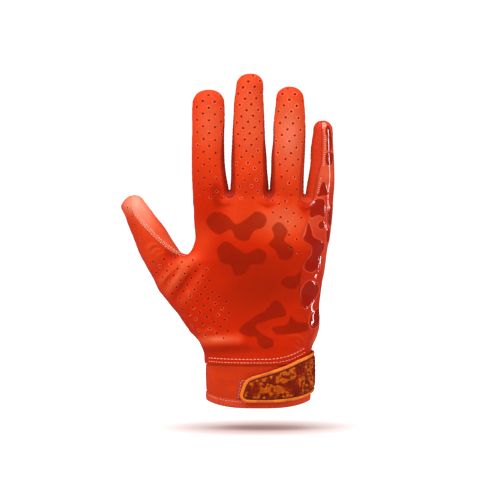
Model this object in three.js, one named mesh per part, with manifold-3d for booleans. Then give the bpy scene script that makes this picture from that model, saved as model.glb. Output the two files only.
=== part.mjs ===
// A football receiver's glove for the right hand, filled out as on a hand, with its fingers up.
// Millimetres. +Z runs up the fingers, -Y points out of the back of the hand, the thumb is at -X,
// and the origin is in the middle of the wrist opening.
// Every shell is drawn and cut flat, in front of and behind the plane y = 0, and bent to the hand's
// rest position at the very end.
import * as THREE from "three";
import { mergeVertices } from "three/addons/utils/BufferGeometryUtils.js";
import Module from "manifold-3d";

const wasm = await Module();
wasm.setup();

// Driving dimensions
const wall = 1.5; // microfibre with its thin foam backing
const seamGap = 0.3; // between two panels sewn edge to edge
const handBottom = 31.8; // where the hand panels meet the cuff
const hemHeight = 6.2;
const hemLift = 5.2; // how far the cuff's lower edge rises at its two sides
const hemPadding = 0.6; // the turned hem stands this far out of the cuff
const patchThickness = 0.8;
const strapThickness = 1.4;
const faceThickness = 0.7;
const pipingWidth = 2.2;
const faceMargin = 1.1; // the groove between the piping and the raised face of the strap
const beyond = { front: -70, behind: 70, left: -120, right: 80, top: 260 }; // clear of every shell
const sideY = 0.4; // the plane in which the panels of the back and of the palm meet
const gripSideY = 0.9; // the same for the grip panel, whose edges cross from back to palm here

const table = (columns, rows) => {
  const names = columns.split(" ");
  return rows.map((row) => Object.fromEntries(names.map((name, i) => [name, row[i]])));
};
const sectionTable = (rows) => table("z left right back palm", rows);
const lineTable = (rows) => table("x z", rows).map(({ x, z }) => [x, z]);

// How finely the forms are faceted: points around, greatest height of a ring, and rings in a tip
const facets = {
  handOutside: { around: 30, pitch: 10, tipRings: 4 },
  handInside: { around: 20, pitch: 18, tipRings: 3 },
  digitOutside: { around: 16, pitch: 14, tipRings: 3 },
  digitInside: { around: 12, pitch: 24, tipRings: 3 },
  cuff: { around: 32, pitch: 24 },
};

// Sections across the glove: left and right silhouette, and how deep it is to the back and to the palm
const fingers = {
  index: {
    tip: 233, tipX: -37.4, roundness: 2.15,
    rows: sectionTable([
      [128, -46.5, -22.0, 8.5, 9.5],
      [142, -48.4, -21.2, 10.8, 11.6],
      [160, -49.1, -22.4, 11.3, 11.6],
      [182, -49.6, -25.7, 10.9, 11.0],
      [204, -49.6, -25.6, 10.3, 10.6],
      [222, -49.6, -25.7, 9.4, 10.0],
    ]),
  },
  middle: {
    tip: 245, tipX: -7.4, roundness: 2.15,
    rows: sectionTable([
      [128, -21.0, 6.0, 10.5, 11.0],
      [142, -21.8, 7.0, 12.2, 12.6],
      [162, -21.7, 6.7, 12.0, 12.3],
      [180, -20.9, 5.5, 11.4, 11.6],
      [205, -19.9, 4.0, 10.7, 11.0],
      [222, -18.7, 3.2, 10.2, 10.6],
      [234, -17.4, 2.9, 9.5, 10.0],
    ]),
  },
  ring: {
    tip: 235.2, tipX: 22.2, roundness: 2.15,
    rows: sectionTable([
      [128, 7.4, 32.4, 9.8, 10.6],
      [142, 7.2, 32.9, 11.6, 12.2],
      [162, 7.6, 32.7, 11.4, 11.8],
      [180, 8.6, 33.5, 10.9, 11.3],
      [204, 9.9, 33.8, 10.3, 10.8],
      [216, 10.9, 33.6, 9.9, 10.5],
      [225, 12.0, 32.6, 9.3, 9.9],
    ]),
  },
  little: {
    tip: 210.2, tipX: 46.4, roundness: 2.15,
    rows: sectionTable([
      [124, 34.0, 51.0, 7.2, 8.4],
      [138, 33.0, 52.9, 9.4, 10.2],
      [152, 33.0, 54.3, 9.8, 10.4],
      [169, 35.7, 55.1, 9.4, 9.8],
      [190, 38.0, 54.6, 8.8, 9.2],
      [202, 39.3, 53.9, 8.0, 8.6],
    ]),
  },
  thumb: {
    tip: 155.1, tipX: -92.2, roundness: 2.1,
    rows: sectionTable([
      [58, -50.5, -20.0, 12.0, 16.0],
      [67.6, -58.8, -24.0, 12.8, 17.5],
      [76.4, -67.0, -30.0, 13.0, 17.5],
      [85.3, -74.2, -36.0, 12.7, 16.5],
      [94.1, -78.9, -43.0, 12.2, 15.0],
      [102.9, -83.3, -50.0, 11.7, 13.5],
      [111.7, -88.4, -56.5, 11.2, 12.3],
      [120.5, -92.2, -62.8, 10.8, 11.6],
      [129.4, -95.3, -68.4, 10.4, 11.0],
      [138.2, -99.0, -75.0, 10.0, 10.5],
      [147, -102.6, -82.0, 9.4, 9.8],
    ]),
  },
};
const hand = {
  tip: 157.4, tipX: -8, roundness: 2.4,
  rows: sectionTable([
    [handBottom, -40.3, 37.3, 23.3, 24.1],
    [38, -40.7, 37.4, 22.8, 23.9],
    [44.5, -43.0, 38.8, 21.6, 23.8],
    [51, -46.2, 42.0, 20.2, 23.9],
    [58.8, -51.5, 43.9, 18.2, 23.6],
    [68, -57.5, 44.1, 16.8, 23.0],
    [78, -62.5, 44.5, 16.0, 21.8],
    [90, -66.0, 46.2, 15.6, 20.0],
    [99, -67.0, 47.8, 15.2, 18.5],
    [104, -64.5, 48.4, 15.0, 18.0],
    [107.5, -59.5, 48.8, 14.9, 17.5],
    [110.5, -54.0, 49.1, 14.8, 17.0],
    [114, -50.6, 49.6, 14.7, 16.6],
    [122, -47.7, 50.7, 14.4, 16.2],
    [134, -46.9, 51.8, 13.9, 15.5],
    [147, -47.9, 53.4, 12.8, 14.4],
  ]),
};
const cuff = {
  roundness: 2.4,
  rows: sectionTable([
    [-8, -37.2, 35.8, 24.0, 24.2],
    [15, -39.2, 37.1, 22.9, 23.5],
    [45, -39.6, 36.9, 22.2, 23.2],
  ]),
};

// A column of a section table at any height, on a smooth curve through its rows
function column(rows, name, z) {
  const last = rows.length - 1;
  let i = rows.findIndex((row) => row.z > z) - 1;
  if (i < 0) i = z < rows[0].z ? 0 : last - 1;
  const slope = (k) => {
    const [a, b] = [rows[Math.max(k - 1, 0)], rows[Math.min(k + 1, last)]];
    return (b[name] - a[name]) / (b.z - a.z);
  };
  const [from, to] = [rows[i], rows[i + 1]];
  const rise = to.z - from.z;
  const t = Math.min(Math.max((z - from.z) / rise, 0), 1);
  const [t2, t3] = [t * t, t * t * t];
  return (
    (2 * t3 - 3 * t2 + 1) * from[name] + (t3 - 2 * t2 + t) * rise * slope(i) +
    (3 * t2 - 2 * t3) * to[name] + (t3 - t2) * rise * slope(i + 1)
  );
}

// The section at a height, with each of its four sides moved out by its share of grow
function sectionAt({ rows }, z, grow = {}) {
  const at = (name) => column(rows, name, z);
  return {
    z,
    left: at("left") - (grow.left ?? 0),
    right: at("right") + (grow.right ?? 0),
    back: at("back") + (grow.back ?? 0),
    palm: at("palm") + (grow.palm ?? 0),
  };
}
const allRound = (d) => ({ left: d, right: d, back: d, palm: d });
const middleOf = (s) => (s.left + s.right) / 2;
const halfWidth = (s) => (s.right - s.left) / 2;

// One ring of points round a section: a superellipse whose back and palm depths differ
function ringOf(section, roundness, around) {
  const soften = (v) => Math.sign(v) * Math.abs(v) ** (2 / roundness);
  return Array.from({ length: around }, (_, i) => {
    const angle = (2 * Math.PI * i) / around;
    const depth = Math.sin(angle) < 0 ? section.back : section.palm;
    return [
      middleOf(section) + halfWidth(section) * soften(Math.cos(angle)),
      depth * soften(Math.sin(angle)),
      section.z,
    ];
  });
}

// Closed skin over rings with equally many points, each end closed by a fan to its own point
function skinOver(rings, bottom, top) {
  const around = rings[0].length;
  const points = [...rings.flat(), bottom, top];
  const [first, last] = [points.length - 2, points.length - 1];
  const faces = [];
  for (let i = 0; i < around; i++) {
    const next = (i + 1) % around;
    faces.push([first, next, i]);
    for (let r = 0; r < rings.length - 1; r++) {
      const [a, b] = [r * around, (r + 1) * around];
      faces.push([a + i, a + next, b + next], [a + i, b + next, b + i]);
    }
    const end = (rings.length - 1) * around;
    faces.push([end + i, end + next, last]);
  }
  const geometry = new THREE.BufferGeometry();
  geometry.setAttribute("position", new THREE.Float32BufferAttribute(points.flat(), 3));
  geometry.setIndex(faces.flat());
  return solidOf(geometry);
}

function solidOf(geometry) {
  geometry.deleteAttribute("normal");
  geometry.deleteAttribute("uv");
  const merged = mergeVertices(geometry, 1e-4);
  const vertProperties = merged.attributes.position.array;
  const triVerts = new Uint32Array(merged.index.array);
  return new wasm.Manifold(new wasm.Mesh({ numProp: 3, vertProperties, triVerts }));
}

const middleOfRing = (ring) => {
  const sum = ring.reduce((a, p) => [a[0] + p[0], a[1] + p[1], a[2] + p[2]]);
  return sum.map((v) => v / ring.length);
};

// Heights of the rings: at every row, and evenly between rows that are further apart than the pitch
function levelsOf(rows, pitch) {
  const levels = [];
  rows.slice(1).forEach((row, i) => {
    const parts = Math.max(1, Math.round((row.z - rows[i].z) / pitch));
    for (let k = 0; k < parts; k++) levels.push(rows[i].z + ((row.z - rows[i].z) * k) / parts);
  });
  return [...levels, rows.at(-1).z];
}

// A form with open-ended sections below and a rounded tip above, shrunk by inset for its hollow
function roundedForm(form, inset, { around, pitch, tipRings }) {
  const levels = levelsOf(form.rows, pitch);
  const rings = levels.map((z) =>
    ringOf(sectionAt(form, z, allRound(-inset)), form.roundness, around),
  );
  const shoulder = sectionAt(form, form.rows.at(-1).z, allRound(-inset));
  const rise = form.tip - inset - shoulder.z;
  const power = 2.2;
  for (let k = 1; k < tipRings; k++) {
    const t = Math.sin((k / tipRings) * (Math.PI / 2));
    const shrink = (1 - t ** power) ** (1 / power);
    const middle = THREE.MathUtils.lerp(middleOf(shoulder), form.tipX, t);
    rings.push(
      ringOf(
        {
          z: shoulder.z + rise * t,
          left: middle - halfWidth(shoulder) * shrink,
          right: middle + halfWidth(shoulder) * shrink,
          back: shoulder.back * shrink,
          palm: shoulder.palm * shrink,
        },
        form.roundness,
        around,
      ),
    );
  }
  return skinOver(rings, middleOfRing(rings[0]), [form.tipX, 0, form.tip - inset]);
}

// A flat outline in x and z, pushed through the glove from one depth to another
function prism(outline, nearY, farY) {
  const shape = new THREE.Shape(outline.map(([x, z]) => new THREE.Vector2(x, z)));
  const geometry = new THREE.ExtrudeGeometry(shape, { depth: farY - nearY, bevelEnabled: false });
  geometry.rotateX(Math.PI / 2).translate(0, farY, 0);
  return solidOf(geometry);
}
const through = (outline) => prism(outline, beyond.front, beyond.behind);
const slab = (low, high) => {
  const size = new THREE.Vector3(...high).sub(new THREE.Vector3(...low));
  const centre = new THREE.Vector3(...low).addScaledVector(size, 0.5);
  return solidOf(new THREE.BoxGeometry(...size.toArray()).translate(...centre.toArray()));
};

// An outline, either way round, with each point moved outwards by a distance
function grown(outline, distance) {
  const turn = Math.sign(THREE.ShapeUtils.area(outline.map(([x, y]) => ({ x, y }))));
  return outline.map((point, i) => {
    const before = outline.at(i - 1);
    const after = outline[(i + 1) % outline.length];
    const normal = ([ax, ay], [bx, by]) => {
      const length = Math.hypot(bx - ax, by - ay);
      return [((by - ay) / length) * turn, (-(bx - ax) / length) * turn];
    };
    const [n1, n2] = [normal(before, point), normal(point, after)];
    const share = distance / Math.max(1 + n1[0] * n2[0] + n1[1] * n2[1], 0.4);
    return [point[0] + (n1[0] + n2[0]) * share, point[1] + (n1[1] + n2[1]) * share];
  });
}

// A smooth line through a few points, as more points
const smoothLine = (points, count) =>
  new THREE.SplineCurve(points.map(([x, z]) => new THREE.Vector2(x, z)))
    .getPoints(count)
    .map(({ x, y }) => [x, y]);

// The side gusset between two fingers runs down one finger, round the web and up the next one.
// It starts at the silhouette near the fingertip and widens towards the web.
const gussetDip = 7; // how far it comes down below the web
const gussetReach = { web: 0.76, gain: 0.3 }; // its seams, in half-widths from the finger's middle
const gussetSeamTop = { index: 222, middle: 226, ring: 219, little: 200 };
function gussetSeam(name, side, web) {
  const form = fingers[name];
  const top = gussetSeamTop[name];
  const steps = 5;
  return Array.from({ length: steps + 1 }, (_, i) => {
    const share = i / steps;
    const s = sectionAt(form, web + (top - web) * share);
    const reach = gussetReach.web + gussetReach.gain * share ** 1.5;
    return [middleOf(s) + side * reach * halfWidth(s), s.z];
  });
}
function gussetBottom([x1], [x2], web) {
  const steps = 4;
  return Array.from({ length: steps - 1 }, (_, i) => {
    const angle = Math.PI * ((i + 1) / steps);
    const half = (x2 - x1) / 2;
    return [x1 + half - half * Math.cos(angle), web - gussetDip * Math.sin(angle)];
  });
}
function gussetOutline(leftFinger, rightFinger, web, rightSeam = gussetSeam(rightFinger, -1, web)) {
  const leftSeam = gussetSeam(leftFinger, 1, web);
  return [...leftSeam.toReversed(), ...gussetBottom(leftSeam[0], rightSeam[0], web), ...rightSeam];
}

// The little finger is turned outwards: its gusset reaches the middle of its back, up to the tip
const littleSeam = lineTable([
  [39.9, 156.5],
  [41.7, 164.5],
  [43.6, 171.5],
  [45.5, 179.3],
  [46.0, 190.0],
  [46.0, 201.0],
  [45.5, 213.0],
]);

const besideLittleTip = [36, 213];

// The grip panel round the outer edge of the hand starts at that seam. Below it, its edge on the
// back of the hand wanders in and out like the printed pattern.
const gripEdge = lineTable([
  [39.9, 156.5],
  [37.4, 149.5],
  [36.4, 139.7],
  [32.6, 129.5],
  [30.6, 123.6],
  [35.2, 119.9],
  [37.9, 115.2],
  [34.6, 108.4],
  [31.0, 101.5],
  [29.4, 92.0],
  [29.6, 81.0],
  [32.6, 68.0],
  [36.2, 56.0],
  [35.2, 44.0],
  [34.6, 28.0],
]);
const gripPalmReach = 7.5; // how far the grip panel comes round onto the palm side
const gripTop = 204;
const gripTaper = 24; // below its top, over which it narrows on the palm side
const gripPalmHeights = [31, 45, 59, 75, 91, 107, 122, 136, 148, 160, 172, 184, 194, 202];
const gripOutside = 62; // an x beyond the outer edge of the hand

// The arc of the sewn seam along the back of the thumb, from its tip to the crotch
const thumbArc = lineTable([
  [-94.6, 158.0],
  [-94.5, 151.0],
  [-93.2, 143.0],
  [-88.4, 135.4],
  [-82.0, 128.6],
  [-74.3, 121.0],
  [-65.7, 114.2],
  [-60.0, 111.2],
  [-54.0, 110.3],
]);

const aboveThumb = [[-50, 118], [-66, 140], [-80, 158]]; // between the thumb and the index finger
const thumbPalmSeam = lineTable([[-108, 88], [-80, 97], [-66, 104.5], [-54, 110.3]]);

const cutterOf = (backOutline, palmOutline, meetY) =>
  prism(backOutline, beyond.front, meetY).add(prism(palmOutline, meetY - 0.01, beyond.behind));

function cutPanel(shell, backOutline, palmOutline, meetY) {
  const cutter = cutterOf(backOutline, palmOutline, meetY);
  const clearance = cutterOf(grown(backOutline, seamGap), grown(palmOutline, seamGap), meetY);
  return [shell.intersect(cutter), shell.subtract(clearance)];
}

// The hollow needs no more than every second section
const everySecondRow = (form) => ({
  ...form,
  rows: form.rows.filter((row, i) => i % 2 === 0 || i === form.rows.length - 1),
});

// Hand and fingers as one hollow shell, then cut along its seams
function handPanels() {
  const digits = Object.values(fingers);
  const outside = [
    roundedForm(hand, 0, facets.handOutside),
    ...digits.map((digit) => roundedForm(digit, 0, facets.digitOutside)),
  ];
  const lower = { ...hand, rows: [{ ...hand.rows[0], z: handBottom - 5 }, ...hand.rows.slice(1)] };
  const inside = [
    roundedForm(everySecondRow(lower), wall, facets.handInside),
    ...digits.map((digit) => roundedForm(everySecondRow(digit), wall, facets.digitInside)),
  ];
  const joined = (solids) => solids.reduce((a, b) => a.add(b));
  let rest = joined(outside).subtract(joined(inside));

  const webs = { indexMiddle: 157.3, middleRing: 158.3, ringLittle: 152.5 };
  const panels = {};
  const take = (name, back, palm = back, meetY = sideY) => {
    [panels[name], rest] = cutPanel(rest, back, palm, meetY);
  };
  take("gusset_index_middle", gussetOutline("index", "middle", webs.indexMiddle));
  take("gusset_middle_ring", gussetOutline("middle", "ring", webs.middleRing));
  take(
    "gusset_ring_little",
    [...gussetOutline("ring", "little", webs.ringLittle, littleSeam), besideLittleTip],
    gussetOutline("ring", "little", webs.ringLittle),
  );

  const gripPalm = gripPalmHeights.map((z) => {
    const form = z < fingers.little.rows[2].z ? hand : fingers.little;
    const reach = gripPalmReach * Math.min(1, (gripTop - z) / gripTaper);
    return [sectionAt(form, z).right - reach, z];
  });
  take(
    "grip_edge_panel",
    [
      ...smoothLine(gripEdge, 20).toReversed(),
      ...littleSeam.slice(1),
      [gripOutside, littleSeam.at(-1)[1]],
      [gripOutside, gripEdge.at(-1)[1]],
    ],
    [[gripOutside, gripPalmHeights[0]], ...gripPalm, [gripOutside, gripTop]],
    gripSideY,
  );
  take(
    "thumb_panel",
    [...smoothLine(thumbArc, 12), ...aboveThumb],
    [...thumbPalmSeam, ...aboveThumb, [thumbPalmSeam[0][0], aboveThumb.at(-1)[1]]],
  );

  const { left, right, top, front, behind } = beyond;
  panels.back_panel = rest.intersect(slab([left, front, 0], [right, sideY - seamGap / 2, top]));
  panels.palm_panel = rest.intersect(slab([left, sideY + seamGap / 2, 0], [right, behind, top]));
  return panels;
}

// A wrap round the cuff between two offsets from its outer surface
function cuffWrap(innerGrow, outerGrow) {
  const { around, pitch } = facets.cuff;
  const levels = levelsOf(cuff.rows, pitch);
  const tube = (grow, heights) => {
    const rings = heights.map((z) => ringOf(sectionAt(cuff, z, grow), cuff.roundness, around));
    return skinOver(rings, middleOfRing(rings[0]), middleOfRing(rings.at(-1)));
  };
  const pastBothEnds = [levels[0] - 2, ...levels.slice(1, -1), levels.at(-1) + 2];
  return tube(outerGrow, levels).subtract(tube(innerGrow, pastBothEnds));
}

const hemLiftAt = (x) => hemLift * Math.abs((x + 0.8) / 38.4) ** 3.2;
function edgeLine(height, reach) {
  const steps = 12;
  return Array.from({ length: steps + 1 }, (_, i) => {
    const x = -reach + (2 * reach * i) / steps;
    return [x, height + hemLiftAt(x)];
  });
}

function cuffPieces() {
  const reach = 44;
  const hemLine = edgeLine(hemHeight, reach);
  const bottomLine = edgeLine(0, reach);
  const body = cuffWrap(allRound(-wall), allRound(0));
  const hem = cuffWrap(allRound(-wall), allRound(hemPadding));
  const top = handBottom - seamGap;
  return {
    cuff: body.intersect(
      through([...hemLine.map(([x, z]) => [x, z + seamGap]), [reach, top], [-reach, top]]),
    ),
    hem_band: hem.intersect(through([...bottomLine, ...hemLine.toReversed()])),
  };
}

// The closure: a loop patch on the back of the cuff, and the strap that comes round the outer edge
const patch = { left: -16.4, topLeft: -14.3, right: 30, top: 20.7 };
const pastStrap = 48; // an x beyond the strap's turn round the outer edge
const strapTop = lineTable([
  [pastStrap, 41.2], [39.5, 40.8], [34.2, 37.5], [19.8, 31.3], [5.4, 26.3], [-5.8, 23.0], [-10.6, 19.7],
]);
const strapNose = lineTable([[-13.4, 14.5], [-14.3, 9.9], [-13.4, 6.7]]);
const strapBottom = lineTable([
  [-10.6, 4.7], [-5.1, 4.3], [8.0, 4.3], [21.1, 5.3], [34.2, 8.3], [40.1, 12.5], [pastStrap, 13.6],
]);
const strapEnd = 6; // where the strap is sewn down on the palm side
const palmEnd = { low: 12.8, high: 41 };
const strapLift = 1.6; // clear of the lower edge of the hand and of the loop patch on the back
const strapHug = 1.35; // round the outer edge

function strapBand(lift, thickness) {
  const grow = (d) => ({ left: 0, right: strapHug + d, back: strapLift + d, palm: strapLift + d });
  return cuffWrap(grow(lift), grow(lift + thickness));
}

function strapPieces() {
  const front = [...strapTop, ...strapNose, ...strapBottom];
  const aboveHem = [patch.left, 0, 15, 23, patch.right].map((x) => [
    x,
    hemHeight + seamGap + hemLiftAt(x),
  ]);
  const patchOutline = [...aboveHem, [patch.right, patch.top], [patch.topLeft, patch.top]];
  const patchBand = cuffWrap(
    { left: 0, right: 0, back: seamGap, palm: 0 },
    { left: 0, right: 0, back: seamGap + patchThickness, palm: 0 },
  );
  const behind = (inset, past = 0) => [
    [strapEnd - past, palmEnd.low + inset],
    [strapEnd - past, palmEnd.high - inset],
    [pastStrap, palmEnd.high - inset],
    [pastStrap, palmEnd.low + inset],
  ];
  const cut = (band, inset) =>
    band.intersect(cutterOf(grown(front, -inset), behind(inset), sideY));
  const body = strapBand(0, strapThickness);
  const face = strapBand(strapThickness + seamGap, faceThickness);
  const rim = cut(strapBand(0, strapThickness + faceThickness), 0);
  const rimHole = cutterOf(grown(front, -pipingWidth), behind(pipingWidth, 10), sideY);
  return {
    strap: cut(body, pipingWidth + seamGap),
    strap_piping: rim.subtract(rimHole),
    strap_face: cut(face, pipingWidth + faceMargin),
    loop_patch: patchBand.intersect(prism(patchOutline, beyond.front, 0)),
  };
}

// Folds of the back panel: each line stands out of the back by its height, or dips if that is negative
const folds = table("x1 z1 x2 z2 width height", [
  [-58, 107, -72, 92, 4, 1.2],
  [-60, 101, -69, 90, 3, -0.8],
  [-49, 108, -66, 86, 5, 1.4],
  [-47, 99, -61, 82, 4, -0.9],
  [-44, 97, -56, 79, 5, 0.9],
  [-43, 47.5, -16, 49.5, 4, 1.3],
  [-40, 41, -10, 42, 4, -0.7],
  [-32, 158, -30, 147, 4, -1.2],
  [6.5, 160, 6.5, 148, 4, -1.2],
  [34, 154, 33, 143, 4, -1.0],
]);
function foldAt(x, y, z) {
  const onBack = THREE.MathUtils.smoothstep(-y, 1, 8);
  return folds.reduce((sum, { x1, z1, x2, z2, width, height }) => {
    const [dx, dz] = [x2 - x1, z2 - z1];
    const along = ((x - x1) * dx + (z - z1) * dz) / (dx * dx + dz * dz);
    const t = THREE.MathUtils.clamp(along, 0, 1);
    const distance = Math.hypot(x - x1 - t * dx, z - z1 - t * dz);
    return sum - height * onBack * Math.exp(-((distance / width) ** 2));
  }, 0);
}

// The bend of the resting hand: fingers curl a little towards the palm, the thumb leans that way
const curl = { from: 150, length: 95, depth: 7 };
const lean = { from: -50, length: 54, depth: 13 };
function bendAt(x, z) {
  const up = Math.max(0, (z - curl.from) / curl.length);
  const out = THREE.MathUtils.clamp((lean.from - x) / lean.length, 0, 1);
  return curl.depth * up ** 2 + lean.depth * out ** 1.6;
}

function bent(solid) {
  const { vertProperties, triVerts } = solid.getMesh();
  const geometry = new THREE.BufferGeometry();
  geometry.setAttribute("position", new THREE.BufferAttribute(vertProperties, 3));
  geometry.setIndex(new THREE.BufferAttribute(triVerts, 1));
  const place = geometry.attributes.position;
  for (let i = 0; i < place.count; i++) {
    const [x, y, z] = [place.getX(i), place.getY(i), place.getZ(i)];
    place.setY(i, y + foldAt(x, y, z) + bendAt(x, z));
  }
  geometry.computeVertexNormals();
  return geometry;
}

// Colours and gloss: red-orange microfibre, darker stretch gussets, glossy grip silicone, orange rubber
const finishes = {
  back_panel: { color: "#cf3a14", roughness: 0.6 },
  palm_panel: { color: "#c23410", roughness: 0.55 },
  thumb_panel: { color: "#dc4a28", roughness: 0.5 },
  grip_edge_panel: { color: "#cc3812", roughness: 0.2 },
  gusset_index_middle: { color: "#b42c0a", roughness: 0.8 },
  gusset_middle_ring: { color: "#b42c0a", roughness: 0.8 },
  gusset_ring_little: { color: "#c84020", roughness: 0.7 },
  cuff: { color: "#d53815", roughness: 0.5 },
  hem_band: { color: "#c44c22", roughness: 0.6 },
  loop_patch: { color: "#a82c0c", roughness: 0.95 },
  strap: { color: "#7c2008", roughness: 0.7 },
  strap_piping: { color: "#f08020", roughness: 0.45 },
  strap_face: { color: "#ad3e0f", roughness: 0.35 },
};

const glove = new THREE.Group();
const pieces = { ...handPanels(), ...cuffPieces(), ...strapPieces() };
for (const [name, solid] of Object.entries(pieces)) {
  const material = new THREE.MeshStandardMaterial({ ...finishes[name], metalness: 0 });
  const mesh = new THREE.Mesh(bent(solid), material);
  mesh.name = name;
  glove.add(mesh);
}

export default glove;
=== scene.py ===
# A right-hand football glove, filled out as on a hand, with the fingers up.
import math

import bpy
import numpy as np
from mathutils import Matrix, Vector
from mathutils.bvhtree import BVHTree
from mathutils.kdtree import KDTree


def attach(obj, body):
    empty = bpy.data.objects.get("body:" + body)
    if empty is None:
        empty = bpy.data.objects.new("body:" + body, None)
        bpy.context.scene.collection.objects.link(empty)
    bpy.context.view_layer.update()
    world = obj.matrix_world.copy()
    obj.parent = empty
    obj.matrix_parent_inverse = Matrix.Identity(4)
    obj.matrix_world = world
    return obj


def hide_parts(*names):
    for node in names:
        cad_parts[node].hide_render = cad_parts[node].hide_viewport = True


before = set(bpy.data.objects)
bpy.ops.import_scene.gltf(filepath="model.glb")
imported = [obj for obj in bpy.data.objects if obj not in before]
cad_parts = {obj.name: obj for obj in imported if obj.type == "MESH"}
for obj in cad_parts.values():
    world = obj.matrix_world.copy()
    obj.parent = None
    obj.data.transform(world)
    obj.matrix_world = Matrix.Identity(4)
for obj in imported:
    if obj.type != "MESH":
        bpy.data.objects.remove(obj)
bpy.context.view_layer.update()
print("frame loaded")

metre = 0.001  # every size below is in mm

# The glove's form. Each row is a section: height, left, right, depth of the back, depth of the palm.
gloveForm = {
    "index": {"tip": 233, "tipX": -37.4, "round": 2.15, "rows": [
        [128, -46.5, -22, 8.5, 9.5], [142, -48.4, -21.2, 10.8, 11.6], [160, -49.1, -22.4, 11.3, 11.6],
        [182, -49.6, -25.7, 10.9, 11], [204, -49.6, -25.6, 10.3, 10.6], [222, -49.6, -25.7, 9.4, 10]]},
    "middle": {"tip": 245, "tipX": -7.4, "round": 2.15, "rows": [
        [128, -21, 6, 10.5, 11], [142, -21.8, 7, 12.2, 12.6], [162, -21.7, 6.7, 12, 12.3],
        [180, -20.9, 5.5, 11.4, 11.6], [205, -19.9, 4, 10.7, 11], [222, -18.7, 3.2, 10.2, 10.6],
        [234, -17.4, 2.9, 9.5, 10]]},
    "ring": {"tip": 235.2, "tipX": 22.2, "round": 2.15, "rows": [
        [128, 7.4, 32.4, 9.8, 10.6], [142, 7.2, 32.9, 11.6, 12.2], [162, 7.6, 32.7, 11.4, 11.8],
        [180, 8.6, 33.5, 10.9, 11.3], [204, 9.9, 33.8, 10.3, 10.8], [216, 10.9, 33.6, 9.9, 10.5],
        [225, 12, 32.6, 9.3, 9.9]]},
    "little": {"tip": 210.2, "tipX": 46.4, "round": 2.15, "rows": [
        [124, 34, 51, 7.2, 8.4], [138, 33, 52.9, 9.4, 10.2], [152, 33, 54.3, 9.8, 10.4],
        [169, 35.7, 55.1, 9.4, 9.8], [190, 38, 54.6, 8.8, 9.2], [202, 39.3, 53.9, 8, 8.6]]},
    "thumb": {"tip": 155.1, "tipX": -92, "capFrom": 144, "round": 2.1, "rows": [
        [58, -50.5, -20, 12, 16], [67.6, -58.8, -24, 12.8, 17.5], [76.4, -67, -30, 13, 17.5],
        [85.3, -74.2, -36, 12.7, 16.5], [94.1, -78.9, -43, 12.2, 15], [102.9, -83.3, -50, 11.7, 13.5],
        [111.7, -88.4, -56.5, 11.2, 12.3], [120.5, -92.2, -62.8, 10.8, 11.6],
        [129.4, -95.3, -68.4, 10.4, 11], [138.2, -99, -75, 10, 10.5], [147, -103, -81.5, 9.6, 10],
        [151, -103, -84, 9.3, 9.7]]},
    "hand": {"tip": 157.4, "tipX": -8, "round": 2.4, "rows": [
        [31.8, -40.3, 37.3, 23.3, 24.1], [38, -40.7, 37.4, 22.8, 23.9], [44.5, -43, 38.8, 21.6, 23.8],
        [51, -46.2, 42, 20.2, 23.9], [58.8, -51.5, 43.9, 18.2, 23.6], [68, -57.5, 44.1, 16.8, 23],
        [78, -62.5, 44.5, 16, 21.8], [90, -66, 46.2, 15.6, 20], [99, -67, 47.8, 15.2, 18.5],
        [104, -64.5, 48.4, 15, 18], [107.5, -59.5, 48.8, 14.9, 17.5], [110.5, -54, 49.1, 14.8, 17],
        [114, -50.6, 49.6, 14.7, 16.6], [122, -47.7, 50.7, 14.4, 16.2], [134, -46.9, 51.8, 13.9, 15.5],
        [147, -46.5, 52.4, 12.8, 14.4]]},
}

# How the skin is made: mesh spacing inside the box, wall, softness of the joins, where the pieces meet.
# Each refining gives the reach beside seams, the reach round holes and the longest edge that stays.
skinMake = {"spacing": 1.0, "box": ((-112, 64), (-28, 30), (27, 250)), "evening": 0.6, "snap": 0.07,
            "wall": 1.3, "webBlend": 2.5, "thumbBlend": 7.0, "bottom": 31.8, "sideY": 0.4,
            "seamDepth": 0.35, "seamWidth": 0.8, "seamPuff": 0.16, "puffAt": 2.3, "puffWidth": 1.1,
            "refining": [(2.0, 0.85, 0.66), (1.1, 0.38, 0.37)]}
farAway = 6.0  # stands for any distance in mm that is too long to matter


def sectionTable(rows):
    # Smooth sections every half millimetre of height
    rows = np.array(rows, float)
    z = rows[:, 0]
    last = len(rows) - 1
    before = np.maximum(np.arange(last + 1) - 1, 0)
    after = np.minimum(np.arange(last + 1) + 1, last)
    slopes = (rows[after] - rows[before]) / (z[after] - z[before])[:, None]
    fine = np.arange(z[0], z[-1] + 0.01, 0.5)
    k = np.clip(np.searchsorted(z, fine, side="right") - 1, 0, last - 1)
    step = (z[k + 1] - z[k])[:, None]
    t = (fine - z[k])[:, None] / step
    table = (2 * t**3 - 3 * t**2 + 1) * rows[k] + (t**3 - 2 * t**2 + t) * step * slopes[k]
    table += (3 * t**2 - 2 * t**3) * rows[k + 1] + (t**3 - t**2) * step * slopes[k + 1]
    table[:, 0] = fine
    return table


for form in gloveForm.values():
    form["table"] = sectionTable(form["rows"])


def sectionAt(name, z):
    table = gloveForm[name]["table"]
    return [np.interp(z, table[:, 0], table[:, k]) for k in range(1, 5)]


def fullness(name, x, y, z):
    # 1 on the form's surface, less inside it
    form = gloveForm[name]
    table = form["table"]
    left, right, back, palm = sectionAt(name, z)
    capFrom = form.get("capFrom", table[-1, 0])
    rise = np.maximum(z - capFrom, 0) / (form["tip"] - capFrom)
    if name != "hand":
        rise = rise + np.maximum(table[0, 0] - z, 0) / 6
    middle = (left + right) / 2
    middle = middle + (form["tipX"] - middle) * np.clip(rise, 0, 1) * (z > table[0, 0])
    depth = np.where(y < 0, back, palm)
    n = form["round"]
    ring = np.abs((x - middle) / ((right - left) / 2)) ** n + np.abs(y / depth) ** n
    return (ring ** (2.2 / n) + rise**2.2) ** (1 / 2.2)


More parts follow.
